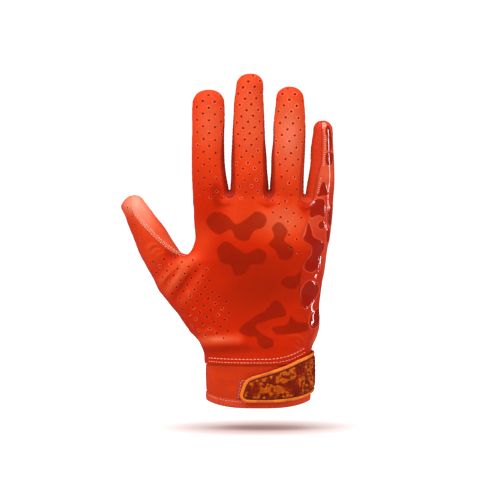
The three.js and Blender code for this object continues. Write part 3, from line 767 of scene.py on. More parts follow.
def makePanel(name, pieceName, extraRelief=None):
    data, tris = panelShell(name)
    data, tris = refinePanel(data, tris, name == "back_panel")
    outer = data[:, 3] > 0.99
    p = data[:, :3].copy()
    p[outer] = ontoSurface(p[outer], 1)
    _, slope = slopeOf(gloveDistance, p[outer])
    normal = unit(slope)
    x, y, z = p[outer].T
    _, seam = nearest(seamTree, p[outer])
    raised = np.where(y < skinMake["sideY"], patchDistance("raised", x, z), farAway)
    matte = np.where(y < skinMake["sideY"], patchDistance("matte", x, z), farAway)
    rise = -skinMake["seamDepth"] * bell(seam, skinMake["seamWidth"])
    rise += skinMake["seamPuff"] * bell(seam - skinMake["puffAt"], skinMake["puffWidth"])
    gather = np.sin(z * 2 * math.pi / puckers["pitch"] + 2.1 * np.sin(x * 0.31) + 1.7 * np.sin(z * 0.11))
    rise += puckers["height"] * gather * bell(seam - puckers["at"], puckers["reach"]) * ramp(seam, 0.2, 1.2)
    rise += puckers["sway"] * softWaves(x, y, z)
    rise *= ramp(z, skinMake["bottom"] - 0.5, skinMake["bottom"] + 5) * 0.85 + 0.15
    if extraRelief:
        rise += extraRelief(x, y, z, seam, raised, matte)
    p[outer] += normal * rise[:, None]
    p[:, 1] += foldShift(*p.T) + bendAt(p[:, 0], p[:, 2])
    attributes = {}
    # The painted highlights and painted shade of each point, for the material
    tone = paintedLightAt(x, y, z)
    for key, values, inner in (("seam", seam, farAway), ("raised", raised, farAway),
                               ("matte", matte, farAway), ("tone", tone, 0.5), ("outer", 1, 0)):
        attributes[key] = np.full(len(p), float(inner))
        attributes[key][outer] = values
    piece = meshFrom(pieceName, p, tris, attributes)
    print(pieceName, len(tris), "triangles")
    return piece


# Moulded patches stand proud of the glossy panel, with a fine lip round each
gripRelief = {"patchHeight": 0.2, "edge": 0.5, "lip": 0.04, "lipAt": 1.1, "lipWidth": 0.4, "wave": 0.07}
gussetRelief = {"gather": 0.07, "sunk": 0.25}
palmRelief = {"lines": [[[-56, 112], [-30, 96], [-14, 74], [-16, 50]],
                        [[-46, 136], [-10, 128], [30, 132], [50, 138]], [[-44, 120], [0, 108], [36, 112]]],
              "depth": 0.45, "width": 1.8, "jointHeights": (182, 207), "jointDepth": 0.3, "jointWidth": 1.5}


# The reliefs share one form, so that makePanel can call each
def gripRise(x, y, z, seam, raised, matte):
    rise = gripRelief["patchHeight"] * ramp(-raised, -gripRelief["edge"], gripRelief["edge"])
    rise += gripRelief["lip"] * bell(raised - gripRelief["lipAt"], gripRelief["lipWidth"])
    wave = np.sin(z * 0.55 + np.sin(x * 0.6)) * np.sin(z * 0.21 + x * 0.5)
    return rise + gripRelief["wave"] * wave * ramp(seam, 0.5, 3) * ramp(-z, -150, -120)


def gussetRise(x, y, z, seam, raised, matte):
    # Stretch fabric gathers lightly across the finger
    gather = gussetRelief["gather"] * np.sin(z * 2.1 + 1.2 * np.sin(z * 0.37) + x * 0.25)
    return gather * ramp(seam, 0.4, 2.2) - gussetRelief["sunk"] * ramp(seam, 0.3, 3)


def palmRise(x, y, z, seam, raised, matte):
    # Flex lines across the palm and under the finger joints
    look = palmRelief
    rise = np.zeros(x.shape)
    for line in look["lines"]:
        rise -= look["depth"] * bell(lineDistance(line, x, z)[0], look["width"])
    for height in look["jointHeights"]:
        rise -= look["jointDepth"] * bell(z - height - 2 * np.sin(x * 0.2), look["jointWidth"])
    return rise * ramp(y, 2, 7)


panelReliefs = {
    "back_panel": ("backPanel", None), "palm_panel": ("palmPanel", palmRise),
    "thumb_panel": ("thumbPanel", None), "grip_edge_panel": ("gripPanel", gripRise),
    "gusset_index_middle": ("gussetIndexMiddle", gussetRise),
    "gusset_middle_ring": ("gussetMiddleRing", gussetRise),
    "gusset_ring_little": ("gussetRingLittle", gussetRise),
}
panels = {name: makePanel(name, *made) for name, made in panelReliefs.items()}


def put(tree, kind, values=None, **settings):
    # A node with its settings, and its inputs as values or links
    node = tree.nodes.new(kind)
    for key, value in settings.items():
        setattr(node, key, value)
    for key, value in (values or {}).items():
        if isinstance(value, bpy.types.NodeSocket):
            tree.links.new(value, node.inputs[key])
        else:
            node.inputs[key].default_value = value
    return node


def calc(tree, operation, a, b=0.0):
    return put(tree, "ShaderNodeMath", {0: a, 1: b}, operation=operation).outputs[0]


def times(tree, a, b):
    return calc(tree, "MULTIPLY", a, b)


def plus(tree, a, b):
    return calc(tree, "ADD", a, b)


def minus(tree, a, b):
    return calc(tree, "SUBTRACT", a, b)


def fade(tree, value, start, end, low=0.0, high=1.0):
    # Runs smoothly from low to high between start and end
    limits = {"Value": value, "From Min": start, "From Max": end, "To Min": low, "To Max": high}
    return put(tree, "ShaderNodeMapRange", limits, interpolation_type="SMOOTHSTEP").outputs["Result"]


def noiseAt(tree, place, scale, detail):
    given = {"Vector": place, "Scale": scale, "Detail": detail}
    return put(tree, "ShaderNodeTexNoise", given).outputs["Fac"]


def scaled(tree, vector, amount):
    return put(tree, "ShaderNodeVectorMath", {0: vector, "Scale": amount}, operation="SCALE").outputs[0]


def distance(tree, a, b):
    return put(tree, "ShaderNodeVectorMath", {0: a, 1: b}, operation="DISTANCE").outputs["Value"]


def grey(tree, value):
    return put(tree, "ShaderNodeCombineColor", {0: value, 1: value, 2: value}).outputs[0]


def named(tree, name, kind="FLOAT"):
    node = put(tree, "GeometryNodeInputNamedAttribute", {"Name": name}, data_type=kind)
    return node.outputs["Attribute"]


def sampled(tree, geometry, value, index, kind):
    given = {"Geometry": geometry, "Value": value, "Index": index}
    return put(tree, "GeometryNodeSampleIndex", given, data_type=kind, domain="POINT").outputs["Value"]


def stored(tree, geometry, name, value):
    given = {"Geometry": geometry, "Name": name, "Value": value}
    return put(tree, "GeometryNodeStoreNamedAttribute", given, data_type="FLOAT", domain="POINT").outputs[0]


def newGeometryTree(name, sizes):
    tree = bpy.data.node_groups.new(name, "GeometryNodeTree")
    tree.interface.new_socket("Geometry", in_out="OUTPUT", socket_type="NodeSocketGeometry")
    tree.interface.new_socket("Geometry", in_out="INPUT", socket_type="NodeSocketGeometry")
    kinds = {"material": "NodeSocketMaterial", "object": "NodeSocketObject"}
    for key, value in sizes.items():
        kind = kinds.get(value, "NodeSocketFloat")
        socket = tree.interface.new_socket(key, in_out="INPUT", socket_type=kind)
        if kind == "NodeSocketFloat":
            socket.default_value = value
    return tree, tree.nodes.new("NodeGroupInput").outputs, tree.nodes.new("NodeGroupOutput").inputs


def finishTree(tree, geometry, given, result):
    real = put(tree, "GeometryNodeRealizeInstances", {"Geometry": geometry}).outputs[0]
    paint = put(tree, "GeometryNodeSetMaterial", {"Geometry": real, "Material": given["Material"]})
    tree.links.new(paint.outputs[0], result["Geometry"])


def runTree(piece, tree, values):
    # Runs the tree on the piece and keeps the result as its plain mesh
    modifier = piece.modifiers.new(tree.name, "NODES")
    modifier.node_group = tree
    for item in tree.interface.items_tree:
        if item.in_out == "INPUT" and item.name in values:
            modifier[item.identifier] = values[item.name]
    graph = bpy.context.evaluated_depsgraph_get()
    made = bpy.data.meshes.new_from_object(piece.evaluated_get(graph))
    made.name = piece.name
    old = piece.data
    piece.modifiers.remove(modifier)
    piece.data = made
    bpy.data.meshes.remove(old)


def perforationTree():
    # Each hole is a small well with a raised lip, pressed into the skin round the points of another mesh
    tree, given, result = newGeometryTree("perforations", {
        "Holes": "object", "Depth": 0.001, "Lip": 0.0002, "Material": "material"})
    holes = put(tree, "GeometryNodeObjectInfo", {"Object": given["Holes"]}).outputs["Geometry"]
    closest = put(tree, "GeometryNodeSampleNearest", {"Geometry": holes}, domain="POINT").outputs[0]
    radius = sampled(tree, holes, named(tree, "holeRadius"), closest, "FLOAT")
    place = tree.nodes.new("GeometryNodeInputPosition").outputs[0]
    centre = sampled(tree, holes, place, closest, "FLOAT_VECTOR")
    ratio = calc(tree, "DIVIDE", distance(tree, place, centre), radius)
    outer = named(tree, "outer")
    well = fade(tree, ratio, 0.45, 1.05, 1, 0)
    lip = times(tree, fade(tree, ratio, 0.9, 1.25), fade(tree, ratio, 1.3, 1.75, 1, 0))
    rise = minus(tree, times(tree, lip, given["Lip"]), times(tree, well, given["Depth"]))
    normal = tree.nodes.new("GeometryNodeInputNormal").outputs[0]
    shift = scaled(tree, normal, times(tree, rise, outer))
    shape = stored(tree, given["Geometry"], "hole", times(tree, well, outer))
    shape = stored(tree, shape, "lip", times(tree, lip, outer))
    move = put(tree, "GeometryNodeSetPosition", {"Geometry": shape, "Offset": shift})
    finishTree(tree, move.outputs[0], given, result)
    return tree


def stitchTree():
    # Short rounded stitches along lines that carry the surface's normal
    tree, given, result = newGeometryTree("stitches", {
        "Pitch": 0.003, "Length": 0.0024, "Width": 0.0006, "Height": 0.0004, "Material": "material"})
    line = put(tree, "GeometryNodeMeshToCurve", {"Mesh": given["Geometry"]})
    spaced = {"Curve": line.outputs[0], "Length": given["Pitch"]}
    points = put(tree, "GeometryNodeResampleCurve", spaced, mode="LENGTH")
    shape = put(tree, "GeometryNodeMeshUVSphere", {"Segments": 6, "Rings": 6, "Radius": 0.5})
    along = tree.nodes.new("GeometryNodeInputTangent").outputs[0]
    up = named(tree, "up", "FLOAT_VECTOR")
    stand = put(tree, "FunctionNodeAlignRotationToVector", {"Vector": up}, axis="Z")
    turn = put(tree, "FunctionNodeAlignRotationToVector", {
        "Rotation": stand.outputs[0], "Vector": along}, axis="X", pivot_axis="Z")
    size = put(tree, "ShaderNodeCombineXYZ", {0: given["Length"], 1: given["Width"], 2: given["Height"]})
    place = put(tree, "GeometryNodeInstanceOnPoints", {
        "Points": points.outputs[0], "Instance": shape.outputs["Mesh"], "Rotation": turn.outputs[0],
        "Scale": size.outputs[0]})
    smooth = put(tree, "GeometryNodeSetShadeSmooth", {"Geometry": place.outputs[0]})
    finishTree(tree, smooth.outputs[0], given, result)
    return tree


# The cuff's own sections: height, left, right, back, palm
cuffForm = {"rows": [[-8, -37.2, 35.8, 24, 24.2], [15, -39.2, 37.1, 22.9, 23.5],
                     [45, -39.6, 36.9, 22.2, 23.2]],
            "round": 2.4, "wall": 1.5, "top": 32.6, "hemHeight": 6.2, "hemLift": 5.2}
cuffTable = sectionTable(cuffForm["rows"])


def cuffPoint(angle, z, left=0.0, right=0.0, depth=0.0):
    # A point of the cuff's ring, grown outwards by the given amounts. The back is at negative angles.
    l, r, b, p = [np.interp(z, cuffTable[:, 0], cuffTable[:, k]) for k in range(1, 5)]
    l, r = l - left, r + right
    power = 2 / cuffForm["round"]
    c, s = np.cos(angle), np.sin(angle)
    x = (l + r) / 2 + (r - l) / 2 * squared(c, power)
    y = (np.where(s < 0, b, p) + depth) * squared(s, power)
    return np.stack([x, y, z + 0 * x], axis=-1)


def hemLiftAt(x):
    return cuffForm["hemLift"] * np.abs((x + 0.8) / 38.4)**3.2


def ringAngles(count):
    # Angles with even steps round the ring
    a = np.linspace(-math.pi, math.pi, 4001)
    run = lengthsAlong(cuffPoint(a, 20.0))
    return np.interp(np.linspace(0, run[-1], count + 1)[:-1], run, a)


def closedTube(rings):
    # Quads between closed rings that follow each other round in a loop
    rows, count = rings.shape[:2]
    n = np.arange(rows * count).reshape(rows, count)
    a, b = n, np.roll(n, -1, axis=0)
    c, d = np.roll(b, -1, axis=1), np.roll(a, -1, axis=1)
    return rings.reshape(-1, 3), np.stack([a, b, c, d], axis=-1).reshape(-1, 4)


cuffLook = {"around": 360, "steps": 56, "ripple": 0.22, "fold": 0.35, "foldAt": 17, "foldWidth": 3.2,
            "tuck": 0.5}


def makeCuff():
    angle = ringAngles(cuffLook["around"])
    low = cuffForm["hemHeight"] + 0.1 + hemLiftAt(cuffPoint(angle, 6.0)[:, 0])
    t = np.linspace(0, 1, cuffLook["steps"])
    outer = []
    for share in t:
        z = low + (cuffForm["top"] - low) * share
        x = cuffPoint(angle, z)[:, 0]
        wave = np.sin(z * 0.5 + 0.9 * np.sin(x * 0.13)) * np.sin(x * 0.17 + z * 0.12)
        rise = cuffLook["ripple"] * wave * np.sin(math.pi * share)
        fold = bell(z - cuffLook["foldAt"] + 0.1 * x, cuffLook["foldWidth"])
        rise += cuffLook["fold"] * fold * ramp(-x, 12, 34)
        rise -= cuffLook["tuck"] * ramp(z, cuffForm["top"] - 3.2, cuffForm["top"] - 0.8)
        outer.append(cuffPoint(angle, z, rise, rise, rise))
    wall = [-cuffForm["wall"]] * 3
    inner = [cuffPoint(angle, low + (cuffForm["top"] - low) * share, *wall) for share in (1, 0.66, 0.33, 0)]
    points, quads = closedTube(np.array(outer + inner))
    return meshFrom("cuff", points, quads[:, ::-1])


hemLook = {"out": 0.75, "inner": -1.4, "sides": 20, "gather": 0.1, "gathers": 95, "groove": 0.3,
           "grooveAt": 4.5, "grooveWidth": 0.7}


def makeHem():
    # A turned edge with a rounded section, gathered a little by its stitches
    angle = ringAngles(cuffLook["around"])
    rings = []
    middle = (hemLook["out"] + hemLook["inner"]) / 2
    half = (hemLook["out"] - hemLook["inner"]) / 2
    for k in range(hemLook["sides"]):
        a = 2 * math.pi * k / hemLook["sides"]
        out = middle + half * squared(math.cos(a), 0.45)
        share = 0.5 + 0.5 * squared(math.sin(a), 0.55)
        z = hemLiftAt(cuffPoint(angle, 4.0)[:, 0]) + cuffForm["hemHeight"] * share
        rise = out
        if math.cos(a) > 0.1:
            height = share * cuffForm["hemHeight"]
            rise = out - hemLook["groove"] * bell(height - hemLook["grooveAt"], hemLook["grooveWidth"])
            rise = rise + hemLook["gather"] * np.sin(angle * hemLook["gathers"])
        rings.append(cuffPoint(angle, z, rise, rise, rise))
    points, quads = closedTube(np.array(rings))
    return meshFrom("hemBand", points, quads[:, ::-1])


# The strap's outline as seen from the back, nose first, then its run round the outer edge to the palm
strapLook = {
    "noseTop": [[-10.6, 19.7], [-5.8, 23], [5.4, 26.3], [19.8, 31.3], [31, 36.2]],
    "noseBottom": [[-14.3, 9.9], [-13.4, 6.7], [-10.6, 4.7], [-5.1, 4.3], [8, 4.3], [21.1, 5.3], [31, 7.3]],
    "edgeTop": 40.7, "edgeBottom": 12.4, "palmTop": 41, "palmBottom": 12.8, "endX": 6,
    "lift": 1.6, "hug": 1.35, "plate": 1.4, "pipingWidth": 2.2, "pipingHeight": 2.1,
    "faceInset": 3.1, "faceLift": 1.5, "faceHeight": 0.8, "spacing": 0.55, "plateSpacing": 0.9,
    "cell": 3.4, "cellHeight": 0.28, "wave": 0.1, "groove": 0.3, "grooveAt": 1.9, "grooveWidth": 0.35,
    "pipingSides": 14}


def strapPoint(angle, z, lift):
    return cuffPoint(angle, z, 0.0, strapLook["hug"] + lift, strapLook["lift"] + lift)


def strapRun():
    a = np.linspace(-math.pi, math.pi, 4001)
    return a, lengthsAlong(strapPoint(a, 22.0 + 0 * a, 1.0))


runAngles, runLengths = strapRun()


def runAt(x, z, side):
    # How far along the strap a point seen at x lies. Side is -1 on the back, 1 on the palm.
    l, r = [np.interp(z, cuffTable[:, 0], cuffTable[:, k]) for k in (1, 2)]
    r = r + strapLook["hug"] + 1
    u = np.clip((x - (l + r) / 2) / ((r - l) / 2), -1, 1)
    angle = side * np.arccos(squared(u, cuffForm["round"] / 2))
    return np.interp(angle, runAngles, runLengths)


def strapOutline():
    look = strapLook
    edge = float(np.interp(0, runAngles, runLengths))
    end = float(runAt(look["endX"], 27, 1))
    top = [[runAt(x, z, -1), z] for x, z in look["noseTop"]]
    bottom = [[runAt(x, z, -1), z] for x, z in look["noseBottom"]]
    top += [[edge, look["edgeTop"]], [(edge + end) / 2, look["palmTop"]], [end - 2, look["palmTop"]]]
    bottom += [[edge, look["edgeBottom"]], [(edge + end) / 2, look["palmBottom"]],
               [end - 2, look["palmBottom"]]]
    right = [[end, look["palmTop"] - 2], [end, look["palmBottom"] + 2]]
    front = smoothLine(np.array(bottom[::-1] + top), 300)
    return np.vstack([front, right])


def flatPiece(outline, inset, spacing):
    # Triangles that fill an outline, moved in by the inset, as points (run, 0, z)
    low, high = outline.min(0) - 1, outline.max(0) + 1
    s, z = np.meshgrid(*[np.arange(a, b, spacing) for a, b in zip(low, high)], indexing="ij")
    n = np.arange(s.size).reshape(s.shape)
    a, b, c, d = n[:-1, :-1].ravel(), n[1:, :-1].ravel(), n[1:, 1:].ravel(), n[:-1, 1:].ravel()
    tris = np.vstack([columns(a, b, c), columns(a, c, d)])
    points = columns(s.ravel(), 0 * s.ravel(), z.ravel())
    value = outlineDistance(outline, points[:, 0], points[:, 2]) + inset
    points, tris = cutWhere(points, tris, value)
    middle = points[tris].mean(1)
    tris = tris[outlineDistance(outline, middle[:, 0], middle[:, 2]) + inset < 0]
    used, tris = renumbered(tris, len(points))
    points = points[used]
    return points, tris, -outlineDistance(outline, points[:, 0], points[:, 2]) - inset


def wrappedPlate(name, flat, tris, low, high, place):
    # Bottom, top and rim of a flat piece, wrapped round the cuff by the place function
    n = len(flat)
    angle = np.interp(flat[:, 0], runLengths, runAngles)
    top = place(angle, flat[:, 2], high)
    bottom = place(angle, flat[:, 2], low)
    piece = meshFrom(name, np.vstack([top, bottom]), twoSided(tris, n), sharp=40)
    mapped = np.zeros((2 * n, 3))
    mapped[:, 0] = np.tile(flat[:, 0], 2) * metre
    mapped[:, 1] = np.tile(flat[:, 2], 2) * metre
    addVectors(piece, "run", mapped)
    return piece


def hexRelief(s, z, pitch):
    # 0 in the grooves of a honeycomb, 1 inside its cells
    best = np.full(s.shape, 9.0)
    second = best.copy()
    row = pitch * math.sqrt(3)
    for shift in (0, 1):
        cs = np.round((s - shift * pitch / 2) / pitch) * pitch + shift * pitch / 2
        cz = np.round((z - shift * row / 2) / row) * row + shift * row / 2
        for ds in (-pitch, 0, pitch):
            d = np.hypot(s - cs - ds, z - cz)
            second = np.minimum(second, np.maximum(best, d))
            best = np.minimum(best, d)
    return ramp(second - best, 0.05 * pitch, 0.4 * pitch)


def makeStrap():
    look = strapLook
    outline = strapOutline()
    plate, plateTris, inside = flatPiece(outline, look["pipingWidth"] * 0.6, look["plateSpacing"])
    high = look["plate"] * ramp(inside, -1.5, 0.8)
    strap = wrappedPlate("strap", plate, plateTris, 0.0, high, strapPoint)
    flat, tris, inside = flatPiece(outline, look["faceInset"], look["spacing"])
    s, z = flat[:, 0], flat[:, 2]
    edge = float(np.interp(0, runAngles, runLengths))
    ends = ramp(s, edge - 26, edge - 18) * ramp(-s, -edge - 14, -edge - 6)
    wave = np.sin(s * 0.9 + 1.4 * np.sin(z * 0.7)) * np.sin(z * 0.8 + s * 0.2)
    height = look["faceHeight"] * (0.25 + 0.75 * ramp(inside, 0, 0.9))
    height = height + look["cellHeight"] * hexRelief(s, z, look["cell"]) * ends * ramp(inside, 0.6, 1.6)
    height = height + look["wave"] * wave * ramp(inside, 0.5, 2)
    height = height - look["groove"] * bell(inside - look["grooveAt"], look["grooveWidth"])
    low = look["faceLift"] - 0.3 + 0 * s
    face = wrappedPlate("strapFace", flat, tris, low, look["faceLift"] + height, strapPoint)
    return strap, face, outline


def makePiping(outline):
    # A rounded edge swept round the strap's outline
    closed = np.vstack([outline, outline[:1]])
    run = lengthsAlong(closed)
    t = np.arange(0, run[-1], 0.5)
    path = np.stack([np.interp(t, run, closed[:, k]) for k in (0, 1)], axis=1)
    for _ in range(12):
        path = (np.roll(path, 1, axis=0) + 2 * path + np.roll(path, -1, axis=0)) / 4
    ahead = unit(np.roll(path, -1, axis=0) - np.roll(path, 1, axis=0))
    side = columns(ahead[:, 1], -ahead[:, 0])
    width, height = strapLook["pipingWidth"], strapLook["pipingHeight"]
    side = side if outlineTurns(outline) else -side
    rings = []
    for k in range(strapLook["pipingSides"]):
        a = 2 * math.pi * k / strapLook["pipingSides"]
        across = width / 2 * (1 + squared(math.cos(a), 0.8))
        up = height / 2 * (1 + squared(math.sin(a), 0.8))
        flat = path - side * across
        angle = np.interp(flat[:, 0], runLengths, runAngles)
        rings.append(strapPoint(angle, flat[:, 1], up + 0.05 * np.sin(t * 1.1)))
    points, quads = closedTube(np.array(rings))
    return meshFrom("strapPiping", points, quads, sharp=70)


def outlineTurns(outline):
    # True where the outline runs against the clock
    x, z = outline.T
    return (x * np.roll(z, -1) - z * np.roll(x, -1)).sum() > 0


# The patch's corners on the back of the cuff, its lower and upper faces and the height of its pile
loopLook = {"left": -16.4, "topLeft": -14.3, "right": 24, "top": 20.7, "low": 0.3, "high": 1.15,
            "pile": 0.16}


def makeLoopPatch():
    look = loopLook
    low = [[x, cuffForm["hemHeight"] + 0.5 + float(hemLiftAt(np.array(x)))]
           for x in (look["left"], -8, 4, 16, look["right"])]
    corners = low + [[look["right"], look["top"]], [look["topLeft"], look["top"]]]
    outline = np.array([[runAt(x, z, -1), z] for x, z in corners])
    flat, tris, inside = flatPiece(outline, 0.0, 0.5)
    pile = look["pile"] * np.sin(flat[:, 0] * 5.1 + np.sin(flat[:, 2] * 3)) * np.sin(flat[:, 2] * 4.7)
    high = look["low"] + (look["high"] - look["low"]) * (0.3 + 0.7 * ramp(inside, 0, 0.9))
    high = high + pile * ramp(inside, 2.2, 3)
    low = look["low"] + 0 * high

    def onCuff(angle, z, lift):
        return cuffPoint(angle, z, 0.0, lift, lift)

    return wrappedPlate("loopPatch", flat, tris, low, high, onCuff)


cuff = makeCuff()
hemBand = makeHem()
strap, strapFace, strapEdge = makeStrap()
strapPiping = makePiping(strapEdge)
loopPatch = makeLoopPatch()
print("cuff and strap made")


def rgb(red, green, blue):
    # A colour as the eye reads it, 0 to 255, made linear
    def linear(v):
        v = v / 255
        return v / 12.92 if v <= 0.04045 else ((v + 0.055) / 1.055)**2.4
    return (linear(red), linear(green), linear(blue), 1)


def newShaderGroup(name, given, made):
    group = bpy.data.node_groups.new(name, "ShaderNodeTree")
    for key, value in given.items():
        kind = "NodeSocketVector" if value is None else "NodeSocketFloat"
        socket = group.interface.new_socket(key, in_out="INPUT", socket_type=kind)
        if value is not None:
            socket.default_value = value
    for key in made:
        group.interface.new_socket(key, in_out="OUTPUT", socket_type="NodeSocketFloat")
    return group, group.nodes.new("NodeGroupInput").outputs, group.nodes.new("NodeGroupOutput").inputs


def makeGrainGroup():
    # Pebbled grain of coated microfibre: small cells with fine pores
    group, given, made = newShaderGroup(
        "leatherGrain", {"Vector": None, "CellsPerMetre": 900.0, "Pores": 0.3}, ["Height", "Creases"])
    warp = put(group, "ShaderNodeTexNoise", {"Vector": given["Vector"], "Scale": 320.0, "Detail": 2.0})
    shift = scaled(group, warp.outputs["Color"], 0.0009)
    place = put(group, "ShaderNodeVectorMath", {0: given["Vector"], 1: shift}, operation="ADD")
    pattern = {"Vector": place.outputs[0], "Scale": given["CellsPerMetre"]}
    cells = put(group, "ShaderNodeTexVoronoi", pattern, feature="DISTANCE_TO_EDGE")
    dome = fade(group, cells.outputs["Distance"], 0.0, 0.35)
    speck = times(group, noiseAt(group, given["Vector"], 3600.0, 1.0), given["Pores"])
    group.links.new(plus(group, dome, speck), made["Height"])
    group.links.new(minus(group, 1.0, dome), made["Creases"])
    return group


def makeMottleGroup():
    # Slow changes of shade, as dye and handling leave them
    group, given, made = newShaderGroup(
        "mottle", {"Vector": None, "PatchesPerMetre": 45.0, "Strength": 0.12}, ["Shade"])
    big = noiseAt(group, given["Vector"], given["PatchesPerMetre"], 3.0)
    small = noiseAt(group, given["Vector"], times(group, given["PatchesPerMetre"], 9.0), 2.0)
    both = plus(group, times(group, big, 1.4), times(group, small, 0.6))
    swing = times(group, minus(group, both, 1.0), given["Strength"])
    group.links.new(plus(group, 1.0, times(group, swing, 2.0)), made["Shade"])
    return group


def makeWeaveGroup():
    # Ribs of thread over and under, along x and z
    group, given, made = newShaderGroup(
        "weave", {"Vector": None, "ThreadsPerMetre": 1100.0}, ["Height", "Gaps"])
    turns = times(group, given["ThreadsPerMetre"], math.pi)
    part = put(group, "ShaderNodeSeparateXYZ", {0: scaled(group, given["Vector"], turns)})
    across = calc(group, "SINE", plus(group, part.outputs["X"], part.outputs["Y"]))
    along = calc(group, "SINE", part.outputs["Z"])
    wave = calc(group, "ABSOLUTE", times(group, across, along))
    group.links.new(wave, made["Height"])
    group.links.new(minus(group, 1.0, fade(group, wave, 0.0, 0.35)), made["Gaps"])
    return group


grainGroup = makeGrainGroup()
mottleGroup = makeMottleGroup()
weaveGroup = makeWeaveGroup()


sheenTint = rgb(255, 190, 165)


class Paint:
    # A material under way: its tree, its shader, the colour so far and the masks that it reads
    def __init__(self, name, look):
        self.material = bpy.data.materials.new(name)
        self.material.use_nodes = True
        self.tree = self.material.node_tree
        self.shader = self.tree.nodes["Principled BSDF"]
        self.place = self.tree.nodes.new("ShaderNodeTexCoord").outputs["Object"]
        self.give({"Roughness": look["roughness"], "Specular IOR Level": look.get("specular", 0.5),
                   "Sheen Weight": look.get("sheen", 0.0), "Sheen Roughness": 0.45, "Sheen Tint": sheenTint})
        self.colour = None
        self.height = None

    def give(self, values):
        for name, value in values.items():
            self.shader.inputs[name].default_value = value

    def mask(self, name):
        return put(self.tree, "ShaderNodeAttribute", attribute_name=name).outputs["Fac"]

    def noise(self, scale, detail):
        return noiseAt(self.tree, self.place, scale, detail)

    def plain(self, colour):
        self.colour = put(self.tree, "ShaderNodeRGB").outputs[0]
        self.colour.default_value = rgb(*colour)

    def ramp(self, value, stops, interpolation="LINEAR"):
        # The colour so far, from stops of (place, colour)
        node = put(self.tree, "ShaderNodeValToRGB", {"Fac": value})
        node.color_ramp.interpolation = interpolation
        elements = node.color_ramp.elements
        while len(elements) < len(stops):
            elements.new(0.5)
        for element, (place, colour) in zip(elements, stops):
            element.position = place
            element.color = rgb(*colour)
        self.colour = node.outputs["Color"]

    def group(self, group, **values):
        node = self.tree.nodes.new("ShaderNodeGroup")
        node.node_tree = group
        self.tree.links.new(self.place, node.inputs["Vector"])
        for key, value in values.items():
            node.inputs[key].default_value = value
        return node.outputs

    def mix(self, amount, colour, blend="MIX"):
        # Lays a colour over the colour so far
        node = put(self.tree, "ShaderNodeMix", {0: amount, 6: self.colour, 7: colour},
                   data_type="RGBA", blend_type=blend)
        self.colour = node.outputs[2]

    def shade(self, value):
        # Multiplies the colour so far by a grey value
        self.mix(1.0, grey(self.tree, value), "MULTIPLY")

    def mottled(self, **values):
        self.shade(self.group(mottleGroup, **values)["Shade"])

    def lined(self, colour):
        # The inside of the skin has the lining's colour
        self.mix(minus(self.tree, 1.0, self.mask("outer")), rgb(*colour))

    def raiseBy(self, height, strength):
        step = times(self.tree, height, strength)
        self.height = step if self.height is None else plus(self.tree, self.height, step)

    def done(self):
        self.tree.links.new(self.colour, self.shader.inputs["Base Color"])
        if self.height is not None:
            relief = {"Height": self.height, "Strength": 1.0, "Distance": metre}
            bump = put(self.tree, "ShaderNodeBump", relief)
            self.tree.links.new(bump.outputs[0], self.shader.inputs["Normal"])
        return self.material


def printMask(paint, name, soft=0.16, wobble=0.5):
    # Inside of a printed patch, its edge a little uneven
    uneven = times(paint.tree, minus(paint.tree, paint.noise(420.0, 2.0), 0.5), wobble)
    edge = plus(paint.tree, paint.mask(name), uneven)
    return fade(paint.tree, edge, -soft, soft, 1.0, 0.0)


# The shades run by the painted tone, from painted shade in the middle of the hand to painted highlights on
# the fingers and fold ridges
backLook = {"shades": [(0.0, (156, 27, 0)), (0.35, (182, 32, 0)), (0.7, (200, 54, 16)), (1.0, (202, 79, 45)),
                       (1.5, (214, 128, 106))],
            # The hole colour is painted shade inside the holes, and the lip colour a painted highlight on
            # their lips
            "print": (124, 18, 0), "hole": (136, 19, 2), "lip": (246, 140, 106), "lining": (150, 52, 34),
            "roughness": 0.5, "specular": 0.04, "grain": 0.035, "mottle": 0.1}
palmLook = dict(backLook, shades=[(0.0, (150, 26, 2)), (0.7, (184, 52, 20)), (1.5, (200, 80, 48))],
                roughness=0.42, grain=0.03, specular=0.14)
thumbLook = dict(backLook, roughness=0.42, grain=0.04, specular=0.12, shades=[
    (0.0, (176, 36, 6)), (0.5, (202, 70, 38)), (1.0, (226, 116, 90)), (1.5, (234, 150, 128))])


def shadesOf(paint, shades):
    # The colour so far, from the piece's painted light and shade
    share = calc(paint.tree, "DIVIDE", paint.mask("tone"), paintedLight["most"])
    paint.ramp(share, [(tone / paintedLight["most"], colour) for tone, colour in shades])


def leatherPaint(name, look, printed):
    paint = Paint(name, look)
    tree = paint.tree
    shadesOf(paint, look["shades"])
    if printed:
        paint.mix(times(tree, printMask(paint, "matte", 0.7), 0.7), rgb(*look["print"]))
    paint.mottled(Strength=look["mottle"])
    grain = paint.group(grainGroup, CellsPerMetre=1150.0)
    # Painted shade: the creases of the grain are painted a little darker
    paint.shade(minus(tree, 1.0, times(tree, grain["Creases"], 0.07)))
    # Painted shade: darker along the seams, in their grooves
    paint.shade(fade(tree, paint.mask("seam"), 0.0, 0.9, 0.8, 1.0))
    if printed:
        # Painted highlights: a pale colour on the lip of some holes, where they would catch the light
        shine = fade(tree, paint.noise(110.0, 1.0), 0.48, 0.62, 0.06, 0.34)
        paint.mix(times(tree, fade(tree, paint.mask("lip"), 0.1, 0.9), shine), rgb(*look["lip"]))
        # Painted shade: the wells of the holes are painted darker
        paint.mix(fade(tree, paint.mask("hole"), 0.12, 0.6), rgb(*look["hole"]))
    paint.lined(look["lining"])
    paint.raiseBy(grain["Height"], look["grain"])
    rough = fade(tree, paint.noise(90.0, 3.0), 0.3, 0.7, look["roughness"] - 0.06, look["roughness"] + 0.08)
    tree.links.new(rough, paint.shader.inputs["Roughness"])
    return paint.done()


